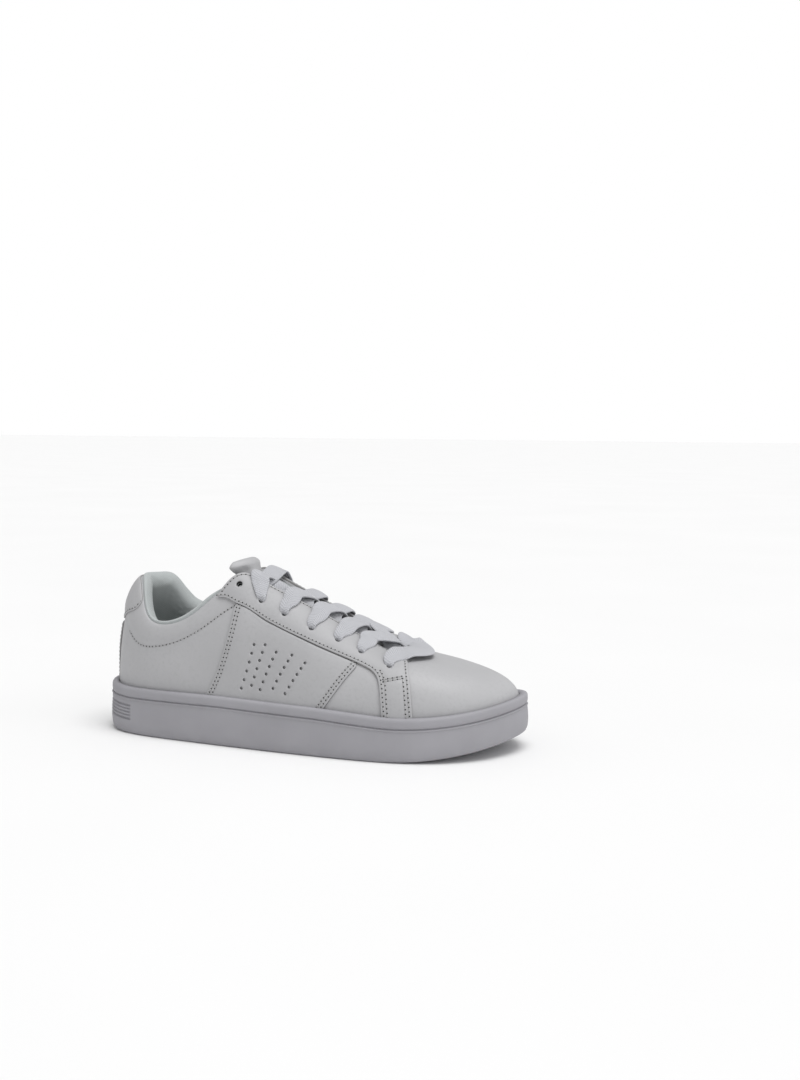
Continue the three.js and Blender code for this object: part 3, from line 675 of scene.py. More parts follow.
def leather_material(name, colour, grain=1.0):
    """Smooth coated leather: a fine pebble grain, pores and faint cloudy variation."""
    n = Nodes(name)
    cloud = n.noise(22, 3)
    fine = n.noise(420, 4)
    cells = n.add("ShaderNodeTexVoronoi", {"Vector": n.place.outputs["Object"], "Scale": 950.0})
    tone = n.mix(cloud, shade(colour, 0.96), shade(colour, 1.03), 0.35, 0.65)
    tone = n.mix(fine, shade(colour, 0.95), tone, 0.3, 0.5)
    height = n.math("ADD", cells.outputs["Distance"], n.math("MULTIPLY", fine, 1.4))
    rough = n.add("ShaderNodeMapRange", {"Value": fine, "To Min": 0.42, "To Max": 0.58}).outputs[0]
    waves = n.bump(n.noise(60, 2), 0.12, 0.002)
    return n.set(
        Base_Color=tone,
        Roughness=rough,
        Normal=n.bump(height, 0.1 * grain, 0.0003, waves),
        Specular_IOR_Level=0.4,
        Sheen_Weight=0.05,
    )


def rubber_material(name, colour):
    """Moulded rubber: matt, faintly mottled, with fine mould texture, and darker in noisy patches near the
    ground.
    """
    n = Nodes(name)
    cloud = n.noise(30, 4)
    fine = n.noise(1500, 2)
    tone = n.mix(cloud, shade(colour, 0.95), shade(colour, 1.04), 0.35, 0.65)
    height = n.add("ShaderNodeSeparateXYZ", {0: n.place.outputs["Object"]}).outputs[2]
    near_ground = {"Value": height, "From Min": 0.012, "From Max": 0.0, "To Max": 0.6}
    darker_low_patches = n.math("MULTIPLY", n.noise(140, 4), n.add("ShaderNodeMapRange", near_ground).outputs[0])
    tone = n.mix(darker_low_patches, tone, shade(colour, 0.8), 0.1, 0.6)
    rough = n.add("ShaderNodeMapRange", {"Value": cloud, "To Min": 0.55, "To Max": 0.72}).outputs[0]
    bumps = n.bump(fine, 0.12, 0.0002)
    return n.set(Base_Color=tone, Roughness=rough, Normal=bumps, Specular_IOR_Level=0.35)


def knit_material(name, colour, pitch=1.1):
    """Knitted lining: rows of small loops, open between them."""
    n = Nodes(name)
    scale = 2 * math.pi / (pitch * MM)
    x, y, z = n.add("ShaderNodeSeparateXYZ", {0: n.place.outputs["Object"]}).outputs
    across_rows = n.math("SINE", n.math("MULTIPLY", n.math("ADD", x, y), scale))
    up_rows = n.math("SINE", n.math("MULTIPLY", n.math("ADD", z, y), scale * 0.8))
    loops = n.math("MULTIPLY", across_rows, up_rows)
    tone = n.mix(loops, shade(colour, 0.78), shade(colour, 1.06), -1.0, 1.0)
    tone = n.mix(n.noise(45, 3), shade(colour, 0.9), tone, 0.25, 0.5)
    fuzz = n.math("ADD", loops, n.math("MULTIPLY", n.noise(2600, 3), 0.8))
    bumps = n.bump(fuzz, 0.35, 0.0005)
    return n.set(
        Base_Color=tone, Roughness=0.92, Normal=bumps, Sheen_Weight=0.3, Specular_IOR_Level=0.15)


def lace_material(name, colour):
    """Flat woven lace: diagonal ribs that meet along the middle, and firm edges."""
    n = Nodes(name)
    uv = n.add("ShaderNodeUVMap", uv_map="weave").outputs[0]
    parts = n.add("ShaderNodeSeparateXYZ", {0: uv})
    side = n.math("ABSOLUTE", parts.outputs[1], 0.0)
    phase = n.math("ADD", n.math("MULTIPLY", parts.outputs[0], 4.2), n.math("MULTIPLY", side, 2.4))
    ribs = n.math("SINE", phase)
    cords = n.math("SINE", n.math("MULTIPLY", parts.outputs[1], 8.0))
    weave = n.math("ADD", ribs, n.math("MULTIPLY", cords, 0.6))
    tone = n.mix(weave, shade(colour, 0.82), shade(colour, 1.06), -1.4, 1.4)
    tone = n.mix(n.noise(70, 3), shade(colour, 0.93), tone, 0.3, 0.55)
    fuzz = n.math("ADD", weave, n.math("MULTIPLY", n.noise(3000, 3), 0.7))
    bumps = n.bump(fuzz, 0.5, 0.0003)
    return n.set(
        Base_Color=tone, Roughness=0.88, Normal=bumps, Sheen_Weight=0.35, Specular_IOR_Level=0.2)


def plain_material(name, colour, rough, texture=900, strength=0.2, **more):
    """Foam, board, thread and other plain stuff, with a fine texture at the given scale."""
    n = Nodes(name)
    fine = n.noise(texture, 4)
    tone = n.mix(fine, shade(colour, 0.88), shade(colour, 1.05), 0.3, 0.7)
    return n.set(Base_Color=tone, Roughness=rough, Normal=n.bump(fine, strength, 0.0004), **more)


LEATHER_MATERIAL = leather_material("leather", grey(178, 178, 180))
OVERLAY_MATERIAL = leather_material("leather_overlay", grey(174, 174, 176), 1.3)
RUBBER_MATERIAL = rubber_material("rubber", grey(158, 157, 162))
TREAD_MATERIAL = rubber_material("rubber_tread", grey(158, 157, 164))
LINING_MATERIAL = knit_material("lining", grey(190, 195, 195))
LACE_MATERIAL = lace_material("lace", grey(193, 194, 199))
THREAD_MATERIAL = plain_material("thread", grey(176), 0.7, 2500, 0.4, Sheen_Weight=0.2)
# Dark grey for needle holes and for the walls of punched holes: painted shade.
NEEDLE_SHADE_MATERIAL = plain_material("painted_hole_shade", grey(62), 0.9)
# Cut edges of the overlays: partly the raw edge's own colour, partly painted shade along them.
EDGE_AND_SHADE_MATERIAL = plain_material("cut_edge", grey(140, 139, 138), 0.8)
FOAM_MATERIAL = plain_material("foam", grey(218, 214, 200), 0.95, 1400, 0.5)
BOARD_MATERIAL = plain_material("board", grey(214, 214, 208), 0.9, 1800, 0.4)
STIFFENER_MATERIAL = plain_material("stiffener", grey(205, 198, 178), 0.6, 700, 0.3)
AGLET_MATERIAL = plain_material("aglet", grey(225, 226, 230), 0.25, 300, 0.05, Coat_Weight=0.4)


def bends(o):
    """Bakes the piece's transform into its mesh. It is called for the pieces that reach over the toe's flex
    line.
    """
    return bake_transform(o)


def stands_for(o, slot, *nodes):
    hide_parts(*nodes)
    return o


# ---- sole --------------------------------------------------------------------------------------
RING = np.arange(0, ROUND, 1 / 24)


def wall_height(x):
    return through(WALL_HEIGHTS, x)


def sole_ring(inset, height):
    p = outline_in(RING, inset)
    x = p[:, 0].copy()
    h = height(x) if callable(height) else height
    p[:, 2] = spring(x) + h
    return p


RIBS, RIB_DEPTH, RIBS_FROM = 4, 1.3, 120
RIB_LOW, RIB_HIGH = 10.8, 19.6
WALL_RINGS = 46


def heel_ribs(ring):
    """How deep the moulded ribs that run round the heel are cut, at each point of the ring."""
    height = ring[:, 2] - spring(ring[:, 0])
    share = clamp((height - RIB_LOW) / (RIB_HIGH - RIB_LOW))
    wave = 0.5 + 0.5 * np.cos(2 * math.pi * RIBS * share)
    within = (height > RIB_LOW - 1) & (height < RIB_HIGH + 1)
    return RIB_DEPTH * wave**2 * within * smooth(-ring[:, 0], RIBS_FROM, RIBS_FROM + 1.5)


def cup_rings():
    """The cupsole's section, from the edge of its underside up and over the lip."""
    rings = [sole_ring(inset, height) for inset, height in ((3.2, 0), (2.2, 0.15), (1.3, 0.7), (0.8, 1.8))]
    for k in range(1, WALL_RINGS):
        share = k / WALL_RINGS

        def height(x, share=share):
            return lerp(1.8, wall_height(x) - BEAD_HEIGHT - 1.1, share)

        ring = sole_ring(0.8 - 0.75 * math.sin(math.pi * share**0.7), height)
        rings.append(ring - outward(RING) * heel_ribs(ring)[:, None])
    # The groove under the bead, the bead, and the lip over it.
    for inset, lift in (
        (0.25, -1), (0.75, -0.6), (2, -0.15), (2, 0.25), (1, 0.6), (0.75, 1.1), (0.55, 2.4), (0.6, 4.4),
        (0.8, 5.6), (1.3, 6.4), (2.2, 6.9), (3.2, 7),
    ):
        rings.append(sole_ring(inset, lambda x: wall_height(x) - BEAD_HEIGHT + lift))
    return rings


def beside_upper(fraction, gap=0.7):
    """Inner face of the side wall at this height, just clear of the upper."""
    lip = outline_in(RING, UPPER_INSET)
    low = UPPER_TRACKS[0].at(RING)[:, 2]
    z = lerp(low, spring(lip[:, 0]) + wall_height(lip[:, 0]), fraction)
    under, over = np.zeros(len(RING)), np.ones(len(RING))
    for _ in range(30):
        middle = (under + over) / 2
        higher = upper(RING, middle)[:, 2] >= z
        over = np.where(higher, middle, over)
        under = np.where(higher, under, middle)
    p = upper(RING, under) + outward(RING) * gap
    p[:, 2] = z
    return p


def rings_mesh(name, rings, material, cap_last=False):
    """A body from rings round the sole, closed at the first of them and, if wanted, at the last."""
    n = len(rings[0])
    faces = grid(len(rings), n, closed=True) + cap(0, n, True)
    if cap_last:
        faces += cap((len(rings) - 1) * n, n, False)
    return make(name, np.vstack(rings), faces, material)


def cap(start, n, flip):
    """Quads that close a ring from its lateral to its medial half."""
    faces = []
    for i in range(n // 2):
        quad = [start + i % n, start + (i + 1) % n, start + (n - i - 1) % n, start + (n - i) % n]
        quad = list(dict.fromkeys(quad))
        if len(quad) > 2:
            faces.append(quad[::-1] if flip else quad)
    return faces


def cupsole():
    rings = [sole_ring(CUP_WALL, height) for height in (CUP_FLOOR, MIDSOLE_TOP + BOARD)]
    rings += [beside_upper(0.4), beside_upper(1.0), *cup_rings()[::-1]]
    o = rings_mesh("cupsole", rings, RUBBER_MATERIAL)
    return bends(stands_for(o, "rubber", "cupsole_rear", "cupsole_front"))


def plate(name, inset, low, high, material, slot, rim=0.0):
    """A layer inside the cup; rim lifts its edge, as on a moulded sockliner."""
    rings = [
        sole_ring(inset, low),
        sole_ring(inset, high - 0.8 + rim),
        sole_ring(inset + 0.4, high - 0.2 + rim),
        sole_ring(inset + 1.2, high + rim * 0.8),
        sole_ring(inset + 4, high + rim * 0.3),
        sole_ring(inset + 9, high),
    ]
    o = rings_mesh(name, rings, material, cap_last=True)
    return bends(stands_for(o, slot, f"{name}_rear", f"{name}_front"))


def midsole_and_insole():
    board_top = MIDSOLE_TOP + BOARD
    plate("midsole", CUP_WALL + 0.6, CUP_FLOOR + FIT, MIDSOLE_TOP, FOAM_MATERIAL, "foam_sole")
    plate("strobel_board", CUP_WALL + 1, MIDSOLE_TOP + FIT, board_top, BOARD_MATERIAL, "board")
    plate("sockliner", 11.5, board_top + FIT, board_top + SOCKLINER, LINING_MATERIAL, "lining", 2.0)


# ---- underside ---------------------------------------------------------------------------------
FIELD_INSET = 12.5
FIELD_DEPTH = 1.9
BOSS = (-8.0, 3.0, 24.0)
HEEL_ZONE = (-140.0, -30.0, 62.0)
TOE_ZONE = (152.0, 34.0, 66.0)


def clipped(polygon, point, normal):
    """The part of a convex 2-D polygon on the side of a line that its normal points away from."""
    found = []
    for a, b in zip(polygon, np.roll(polygon, -1, 0)):
        da, db = (a - point) @ normal, (b - point) @ normal
        if da <= 0:
            found.append(a)
        if (da < 0 < db) or (db < 0 < da):
            found.append(a + (b - a) * da / (da - db))
    return np.array(found)


def in_field(polygon, field, keep_out, keep_in):
    """Clips a block of the tread to the field's edge and to circles it must be in or out of."""
    middle = polygon.mean(0)
    k = np.argmin(np.linalg.norm(field[:, :2] - middle, axis=1))
    t = RING[k]
    polygon = clipped(polygon, field[k, :2], outward(t)[:2])
    for x, y, radius in (*keep_out, *keep_in):
        if len(polygon) < 3:
            return polygon
        away = polygon.mean(0) - (x, y)
        direction = away / max(np.linalg.norm(away), 1e-6)
        edge = np.array([x, y]) + direction * radius
        sign = -1 if (x, y, radius) in keep_out else 1
        polygon = clipped(polygon, edge, direction * sign)
    return polygon


def turned(angle):
    c, s = math.cos(angle), math.sin(angle)
    return np.array([[c, s], [-s, c]])


def brick_polygons(cell=5.2, gap=1.0, reach=30):
    """A herringbone of bars two cells long, laid at 45 degrees to the shoe's length."""
    for i in range(-reach, reach + 1):
        for j in range(-reach, reach + 1):
            step = (i - j) % 4
            if step % 2:
                continue
            low, high = ((i, j), (i + 2, j + 1)) if step == 0 else ((i, j - 1), (i + 1, j + 1))
            a, b = np.array(low) * cell + gap / 2, np.array(high) * cell - gap / 2
            yield np.array([a, (b[0], a[1]), b, (a[0], b[1])]) @ turned(math.pi / 4)


def zigzag_polygons(heading, pitch=4.4, width=2.5, wave=9.0, swing=2.6, reach=40):
    """Rows of zigzag ribs; heading is the way the rows run, in radians."""
    for row in range(-reach, reach + 1):
        for k in range(-reach, reach + 1):
            x0, x1 = k * wave / 2, (k + 1) * wave / 2
            up = swing if k % 2 else -swing
            y0, y1 = row * pitch + up, row * pitch - up
            yield np.array([(x0, y0), (x1, y1), (x1, y1 + width), (x0, y0 + width)]) @ turned(heading)


def tread():
    """Rim, field and blocks of the underside, as one moulding with the cup's rubber."""
    points, faces = [], []

    def add(block_points, block_faces):
        base = sum(len(q) for q in points)
        points.append(np.asarray(block_points, float))
        faces.extend([[base + i for i in f] for f in block_faces])

    rim_and_floor = [
        (3.2, 0), (4.2, 0), (FIELD_INSET - 2.6, 0), (FIELD_INSET - 2.2, 0.3), (FIELD_INSET - 2, FIELD_DEPTH),
        (FIELD_INSET - 0.5, FIELD_DEPTH), (FIELD_INSET, FIELD_DEPTH),
    ]
    rings = [sole_ring(inset, height) for inset, height in rim_and_floor]
    n = len(RING)
    add(np.vstack(rings), grid(len(rings), n, closed=True) + cap((len(rings) - 1) * n, n, False))
    field = sole_ring(FIELD_INSET - 0.6, 0)
    around_boss = (BOSS[0], BOSS[1], BOSS[2] + 2.0)
    around_zones = [(x, y, radius + 1.6) for x, y, radius in (HEEL_ZONE, TOE_ZONE)]
    # Blocks, circles they stay out of, circles they stay in, and the smallest area that is kept.
    plans = [
        (brick_polygons(), [around_boss, *around_zones], [], 6),
        (zigzag_polygons(1.1), [], [HEEL_ZONE], 3),
        (zigzag_polygons(1.0), [], [TOE_ZONE], 3),
    ]
    for polygons, keep_out, keep_in, least in plans:
        for polygon in polygons:
            if (np.abs(polygon).max(0) > (150, 60)).any():
                continue
            polygon = in_field(polygon, field, keep_out, keep_in)
            if len(polygon) > 2 and abs(signed_area(polygon)) >= least:
                block(polygon, add)
    boss(add)
    o = make("tread", np.vstack(points), faces, TREAD_MATERIAL, smooth_faces=False)
    return bends(o)


def block(polygon, add):
    """A tread block: a polygon that stands out of the field, with its edge taken off."""
    if signed_area(polygon) < 0:
        polygon = polygon[::-1]
    middle = polygon.mean(0)
    reach = np.maximum(np.linalg.norm(polygon - middle, axis=1), 0.8)
    inner = middle + (polygon - middle) * (1 - 0.4 / reach)[:, None]
    n = len(polygon)
    rows = [(polygon, FIELD_DEPTH + 0.2), (polygon, 0.45), (inner, 0.0)]
    stacked = np.vstack([np.column_stack([p, spring(p[:, 0]) + h]) for p, h in rows])
    top = [2 * n + i for i in range(n)]
    add(stacked, strip(0, n, n, flip=True) + strip(n, 2 * n, n, flip=True) + [top[::-1]])


def boss(add, sides=48):
    """A plain round boss at the waist, with one groove in it."""
    x, y, radius = BOSS
    a = np.linspace(0, 2 * math.pi, sides, endpoint=False)
    profile = [
        (radius, FIELD_DEPTH + 0.2), (radius - 0.2, 0.4), (radius - 0.8, 0), (radius - 7, 0),
        (radius - 7.4, 0.9), (radius - 8.6, 0.9), (radius - 9, 0), (radius - 14, 0), (0.5, 0),
    ]
    rows = [np.column_stack([x + r * np.cos(a), y + r * np.sin(a), np.full(sides, h)]) for r, h in profile]
    last = [(len(rows) - 1) * sides + i for i in range(sides)]
    add(np.vstack(rows), grid(len(rows), sides, closed=True, flip=True) + [last[::-1]])


# ---- upper -------------------------------------------------------------------------------------
SEAM, SEAM_LEAN = 10.9, 0.7
COLLAR_END = 5.15
TOP_EDGE, COLLAR_EDGE = 0.985, 0.945
COLLAR_LINE = [
    (0, 0.585), (1.6, 0.592), (2.4, 0.607), (3.26, 0.692), (4.05, 0.749), (4.9, 0.759), (5.71, 0.749),
]
EYESTAY_LOWER = [
    (5.12, 0.9), (5.4, 0.85), (5.91, 0.739), (7, 0.654), (8.38, 0.622), (9.4, 0.612), (9.9, 0.592),
]
# How far stitch rows lie in from a cut edge.
ROW_IN, SECOND_ROW_IN = 1.7, 3.9
VENT_RADIUS = 0.95
FACING_FROM = 0.64


def top_edge(t):
    return lerp(COLLAR_EDGE, TOP_EDGE, smooth(t, COLLAR_END + 0.3, COLLAR_END + 0.85))


def seam_at(s):
    return SEAM + SEAM_LEAN * np.asarray(s, float) ** 4


def edge_path(first, last):
    """The leather's upper edge between two lateral stations."""
    t = np.linspace(first, last, 40)
    return np.stack([t, top_edge(t)], 1)


def padded_collar(ts):
    """How far the collar's foam pushes the quarter out, above the stitch line."""
    t = ts[:, 0]
    lateral_t = np.where(t > ROUND / 2, ROUND - t, np.abs(t))
    low = through(COLLAR_LINE, lateral_t)
    u = clamp((ts[:, 1] - low) / (COLLAR_EDGE - low))
    fade = 1 - smooth(lateral_t, 4.2, 5.7)
    return 1.7 * np.sqrt(u * (1 - u) * 4) * fade * smooth(u, 0, 0.3)


def holes(side, radius):
    return [(float(side(t)), s, radius) for t, s in EYELETS]


def flipped(side):
    """Maps (t, s) rows of the lateral side to this side, for closed outlines."""
    return lambda path: np.stack([side(np.asarray(path)[:, 0]), np.asarray(path)[:, 1]], 1)


def quarter(name, side, thread):
    s = np.linspace(0, 0.985, 30)
    seam = np.stack([seam_at(s), s], 1)
    bottom = np.stack([np.linspace(0.03, SEAM, 60), np.zeros(60)], 1)
    heel = np.stack([np.full(20, 0.03), np.linspace(COLLAR_EDGE, 0, 20)], 1)
    ring = loop(*(flipped(side)(p) for p in (bottom, seam, edge_path(11.5, 0.03), heel)), rounding=1)
    line = on_side(spline(COLLAR_LINE[1:]), side)
    o, face = panel(
        f"quarter_{name}", ring, -LEATHER, 0.0, LEATHER_MATERIAL, [resampled(line, ROW_STEP)],
        holes(side, QUARTER_HOLE), relief=padded_collar, bevel=INNER_BEVEL, cut_edge=LEATHER_MATERIAL)
    thread.row(line, face)
    return bends(stands_for(o, "leather", f"quarter_{name}"))


def skins(name, tt, ss, heights, material):
    """Two skins over a grid of t and s, joined along the topline. The first of the heights is outside."""
    rows, cols = tt.shape
    n = rows * cols
    faces = grid(rows, cols)
    faces += [[n + i for i in f[::-1]] for f in faces]
    top = np.arange(rows) * cols + cols - 1
    faces += [[n + top[i], n + top[i + 1], top[i + 1], top[i]] for i in range(rows - 1)]
    points = [off(upper, tt, ss, height).reshape(-1, 3) for height in heights]
    return make(name, np.vstack(points), faces, material)


def vamp():
    """The toe's leather. Its side edges lean with the quarters' seams, and its top edge is thinned."""
    ends = [SEAM, float(across(SEAM))]
    s = np.concatenate([np.linspace(0, 0.965, 44), [0.975, TOP_EDGE]])
    tt, ss = np.meshgrid(np.linspace(*ends, 150), s, indexing="ij")
    share = (tt - ends[0]) / (ends[1] - ends[0])
    tt = tt + SEAM_LEAN * ss**4 * (1 - 2 * share)
    o = skins("vamp", tt, ss, (-0.5 * smooth(ss, 0.965, TOP_EDGE), -LEATHER), LEATHER_MATERIAL)
    return bends(stands_for(o, "leather", "vamp_flex", "vamp_toe"))


def eyestay(name, side, thread):
    """The band beside the throat, and the strap that runs from it down to the sole."""
    strap_rear = [(10.12, 0.55), (10.22, 0.47), (10.26, 0.27)]
    rear = spline([*EYESTAY_LOWER, *strap_rear, (10.29, 0.03)])
    front = spline([
        (11.07, 0.03), (11.07, 0.25), (11.1, 0.431), (11.24, 0.672), (11.55, 0.84), (12.02, 0.955)])
    throat = spline([*((t, TOP_EDGE) for t in (12.02, 11.4, 10.6, 8, 6)), (5.6, 0.975), (5.25, COLLAR_EDGE)])
    edges = (rear, front, throat)
    ring = loop(*(flipped(side)(p) for p in edges))
    rows = [beside(on_side(resampled(p, OUTLINE_STEP), side), ROW_IN) for p in edges]
    # Second rows, down both edges of the strap, and two across its top.
    for path in ([*strap_rear, (10.29, 0.05)], [(11.07, 0.05), (11.07, 0.25), (11.1, 0.431), (11.16, 0.57)]):
        rows.append(beside(on_side(resampled(spline(path), OUTLINE_STEP), side), 4.0))
    rows += [on_side(np.array([(10.36, s), (10.94, s + 0.075)]), side) for s in (0.478, 0.503)]
    rows = [resampled(p, ROW_STEP) for p in rows]
    o, face = panel(
        f"eyestay_{name}", ring, OVERLAY_UNDER, OVERLAY_OVER, OVERLAY_MATERIAL, rows,
        holes(side, EYESTAY_HOLE), pitch=2.0, swell=0.25)
    for path in rows:
        thread.row(path, face)
    return bends(stands_for(o, "leather", f"eyestay_{name}"))


def side_panel(name, side, thread):
    """One broad swept panel, vented by rows of small holes."""
    along = np.linspace(0, 1, 30)

    def at(u, v):
        """A point of the panel: u goes from its back to its front edge, v from the sole up."""
        low, high = lerp(4.05, 8.3, u), lerp(5.75, 9.62, u)
        top = through(EYESTAY_LOWER, high) - 0.012
        return np.stack([lerp(low, high, v**0.85), lerp(0.04, top, v)], -1)

    bottom, top = at(along, 0 * along), at(along[::-1], 0 * along + 1)
    front, back = at(0 * along + 1, along), at(0 * along, along[::-1])
    ring = loop(*(flipped(side)(p) for p in (bottom, front, top, back)))
    edges = [on_side(resampled(p, OUTLINE_STEP), side) for p in (front, back)]
    rows = [resampled(beside(p, distance), ROW_STEP) for p in edges for distance in (ROW_IN, SECOND_ROW_IN)]
    vents = []
    for i, u in enumerate(np.linspace(0.3, 0.7, 5)):
        for v in np.linspace(0.3, 0.72, 6) + (0.035 if i % 2 else 0):
            t, s = at(np.array([u]), np.array([v]))[0]
            vents.append((float(side(t)), float(s), VENT_RADIUS))
    o, face = panel(
        f"side_panel_{name}", ring, OVERLAY_UNDER, OVERLAY_OVER - 0.6, OVERLAY_MATERIAL, rows, vents,
        pitch=2.0, swell=0.2)
    for path in rows:
        thread.row(path, face)
    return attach(stands_for(o, "leather", f"side_panel_{name}"), "rearfoot")


def heel_tab(thread):
    half = [(0, 0.56), (0.5, 0.575), (1.17, 0.672), (1.66, 0.82), (1.72, 0.93)]
    lower = spline([(-t, s) for t, s in half[:0:-1]] + half)
    t = np.linspace(1.7, -1.7, 40)
    ring = loop(lower, np.stack([t, 0 * t + 0.94], 1), rounding=4)
    row = resampled(beside(resampled(lower, OUTLINE_STEP), ROW_IN), ROW_STEP)
    o, face = panel(
        "heel_tab", ring, OVERLAY_UNDER, OVERLAY_OVER - 0.9, OVERLAY_MATERIAL, [row], pitch=2.0,
        relief=lambda ts: 0.9 * padded_collar(ts))
    thread.row(row, face)
    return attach(stands_for(o, "leather", "heel_tab"), "rearfoot")


def heel_patch(thread):
    """Covers the seam up the back of the heel, and is nearly flush with the quarters low down."""
    right = spline([(0.85, 0.05), (0.81, 0.258), (0.67, 0.406), (0.55, 0.515), (0.5, 0.543)])
    edges = (right, right[::-1] * (-1, 1))
    ring = loop(*edges, rounding=4)
    rows = [resampled(beside(resampled(p, OUTLINE_STEP), 1.6), ROW_STEP) for p in edges]
    o, face = panel(
        "heel_patch", ring, OVERLAY_UNDER, OVERLAY_OVER - 0.7, OVERLAY_MATERIAL, rows, pitch=2.0,
        relief=lambda ts: -0.75 * (1 - smooth(ts[:, 1], 0.2, 0.42)))
    for row in rows:
        thread.row(row, face)
    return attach(stands_for(o, "leather", "heel_patch"), "rearfoot")


def quarter_lining(name, side):
    """The lining up to the throat, and the facing that takes its place behind the eyelets."""
    t = np.linspace(COLLAR_END, SEAM, 60)
    t = side(t)[::-1] if side is across else t
    tt, ss = np.meshgrid(t, np.linspace(0.02, FACING_FROM, 24), indexing="ij")
    o = skins(f"quarter_lining_{name}", tt, ss, (LINING_UNDER, LINING_OVER), LINING_MATERIAL)
    bends(stands_for(o, "lining", f"quarter_lining_{name}"))
    s = np.linspace(FACING_FROM, TOP_EDGE, 20)
    t = np.linspace(COLLAR_END, SEAM + 0.3, 60)
    end = np.linspace(top_edge(COLLAR_END), FACING_FROM, 15)
    edges = (
        np.stack([t, 0 * t + FACING_FROM], 1),
        np.stack([0 * s + t[-1], s], 1),
        edge_path(t[-1], COLLAR_END),
        np.stack([0 * end + COLLAR_END, end], 1),
    )
    ring = loop(*(flipped(side)(p) for p in edges), rounding=1)
    o, _ = panel(
        f"eyelet_facing_{name}", ring, LINING_OVER, -LEATHER - 0.1, LINING_MATERIAL, pitch=4,
        holes=holes(side, FACING_HOLE), bevel=INNER_BEVEL, cut_edge=LINING_MATERIAL)
    bends(stands_for(o, "lining", f"eyelet_facing_{name}"))


def vamp_lining():
    t, s = np.linspace(SEAM, float(across(SEAM)), 90), np.linspace(0, 0.975, 30)
    tt, ss = np.meshgrid(t, s, indexing="ij")
    o = skins("vamp_lining", tt, ss, (LINING_UNDER, LINING_OVER), LINING_MATERIAL)
    bends(stands_for(o, "lining", "vamp_lining_flex", "vamp_lining_toe"))


# ---- padded collar -----------------------------------------------------------------------------
COLLAR_TIP = 5.75


def foam(t):
    return PADDING * (1 - 0.93 * smooth(np.abs(t), 3, COLLAR_TIP))


# The collar's section: how far up, and how deep, as a plain depth and one that grows with the foam.
COLLAR_SECTION = [
    (0.03, -3.4, 0), (0.2, -3.4, 0), (0.4, -3.5, 0), (0.52, -3.6, -0.15), (0.62, -3.3, -0.62),
    (0.72, -3.3, -0.98), (0.82, -3.3, -1.12), (0.91, -3.2, -1.08), (0.97, -2.9, -0.8), (1.0, -2.2, -0.42),
    (1.0, -0.9, -0.1), (0.982, 0.1, 0), (0.955, -0.3, 0), (0.93, -0.9, 0),
]


def collar():
    """The knitted collar: up the inside of the heel, over the foam, and under the leather's edge.

    Each end flattens and runs in between the eyestay's leather and its facing.
    """
    t = np.linspace(-COLLAR_TIP, COLLAR_TIP, 220)
    ending = smooth(np.abs(t), 4.7, COLLAR_TIP - 0.1)
    columns = []
    for s, plain, grown in COLLAR_SECTION:
        depth = plain + grown * foam(t)
        flattened = np.clip(depth, -4.3, -1.5)
        columns.append(off(upper, t, lerp(s, min(s, 0.95), ending), lerp(depth, flattened, ending)))
    fine = np.stack([spline(column, 8) for column in np.stack(columns, 1)])
    rows, cols = fine.shape[:2]
    o = make("collar", fine.reshape(-1, 3), [face[::-1] for face in grid(rows, cols)], LINING_MATERIAL)
    # The cloth pass swells a closed body: the foam's part of the section, closed along the leather.
    outer = [off(upper, t, np.full(len(t), s), -2.2 + 0 * t) for s in (0.86, 0.72, 0.6)]
    body = np.stack([*columns[3:12], *outer], 1)[::2]
    n = body.shape[1]
    ends = [list(range(n)), [(len(body) - 1) * n + i for i in range(n)][::-1]]
    body_faces = grid(len(body), n, closed=True, flip=True) + ends
    up = np.arange(cols) / cols
    inner = np.tile(smooth(up, 0.2, 0.35) * smooth(up, 0.82, 0.68), rows)
    near_heel = np.repeat(1 - smooth(np.abs(t), 3.6, 5), cols)
    swell(o, (body.reshape(-1, 3), body_faces), 1.6 * inner * near_heel)
    stands_for(o, "lining", "collar_lining", "collar_padding")
    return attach(o, "rearfoot")


# ---- tongue ------------------------------------------------------------------------------------
TONGUE_LINE = spline([
    (76, 50), (68, 53), (57, 61.5), (46, 68.5), (24, 79.5), (-4, 92), (-24, 98.5), (-35.5, 104), (-42, 111.5),
    (-44.5, 121.2),
], 24)
TONGUE_ALONG = np.concatenate([[0], np.cumsum(np.linalg.norm(np.diff(TONGUE_LINE, axis=0), axis=1))])
TONGUE_MIDDLE = [(-30, 0.5), (40, 0.5), (70, 4)]


def tongue_point(u):
    at = clamp(u) * TONGUE_ALONG[-1]
    x = np.interp(at, TONGUE_ALONG, TONGUE_LINE[:, 0])
    z = np.interp(at, TONGUE_ALONG, TONGUE_LINE[:, 1])
    return x, z


def tongue_face(u, v):
    u, v = np.broadcast_arrays(np.asarray(u, float), np.asarray(v, float))
    x, z = tongue_point(u)
    half = lerp(20, 16, smooth(u, 0.5, 0.75)) - 1.5 * smooth(u, 0.89, 0.93) + 6 * smooth(u, 0.94, 0.98)
    half = half * np.sqrt(1 - 0.3 * clamp((u - 0.97) / 0.03) ** 2)
    sag = lerp(0.036, 0.024, smooth(u, 0.45, 0.72)) - 0.018 * smooth(u, 0.9, 0.96)
    wrap = 0.013 * smooth(u, 0.9, 0.97)
    y = -half * (2 * v - 1)
    return np.stack([x - wrap * y**2, through(TONGUE_MIDDLE, x) + y, z - sag * y**2], -1)


def tongue_ends(rings, n):
    return [[(rings - 1) * n + i for i in range(n)], list(range(n))[::-1]]


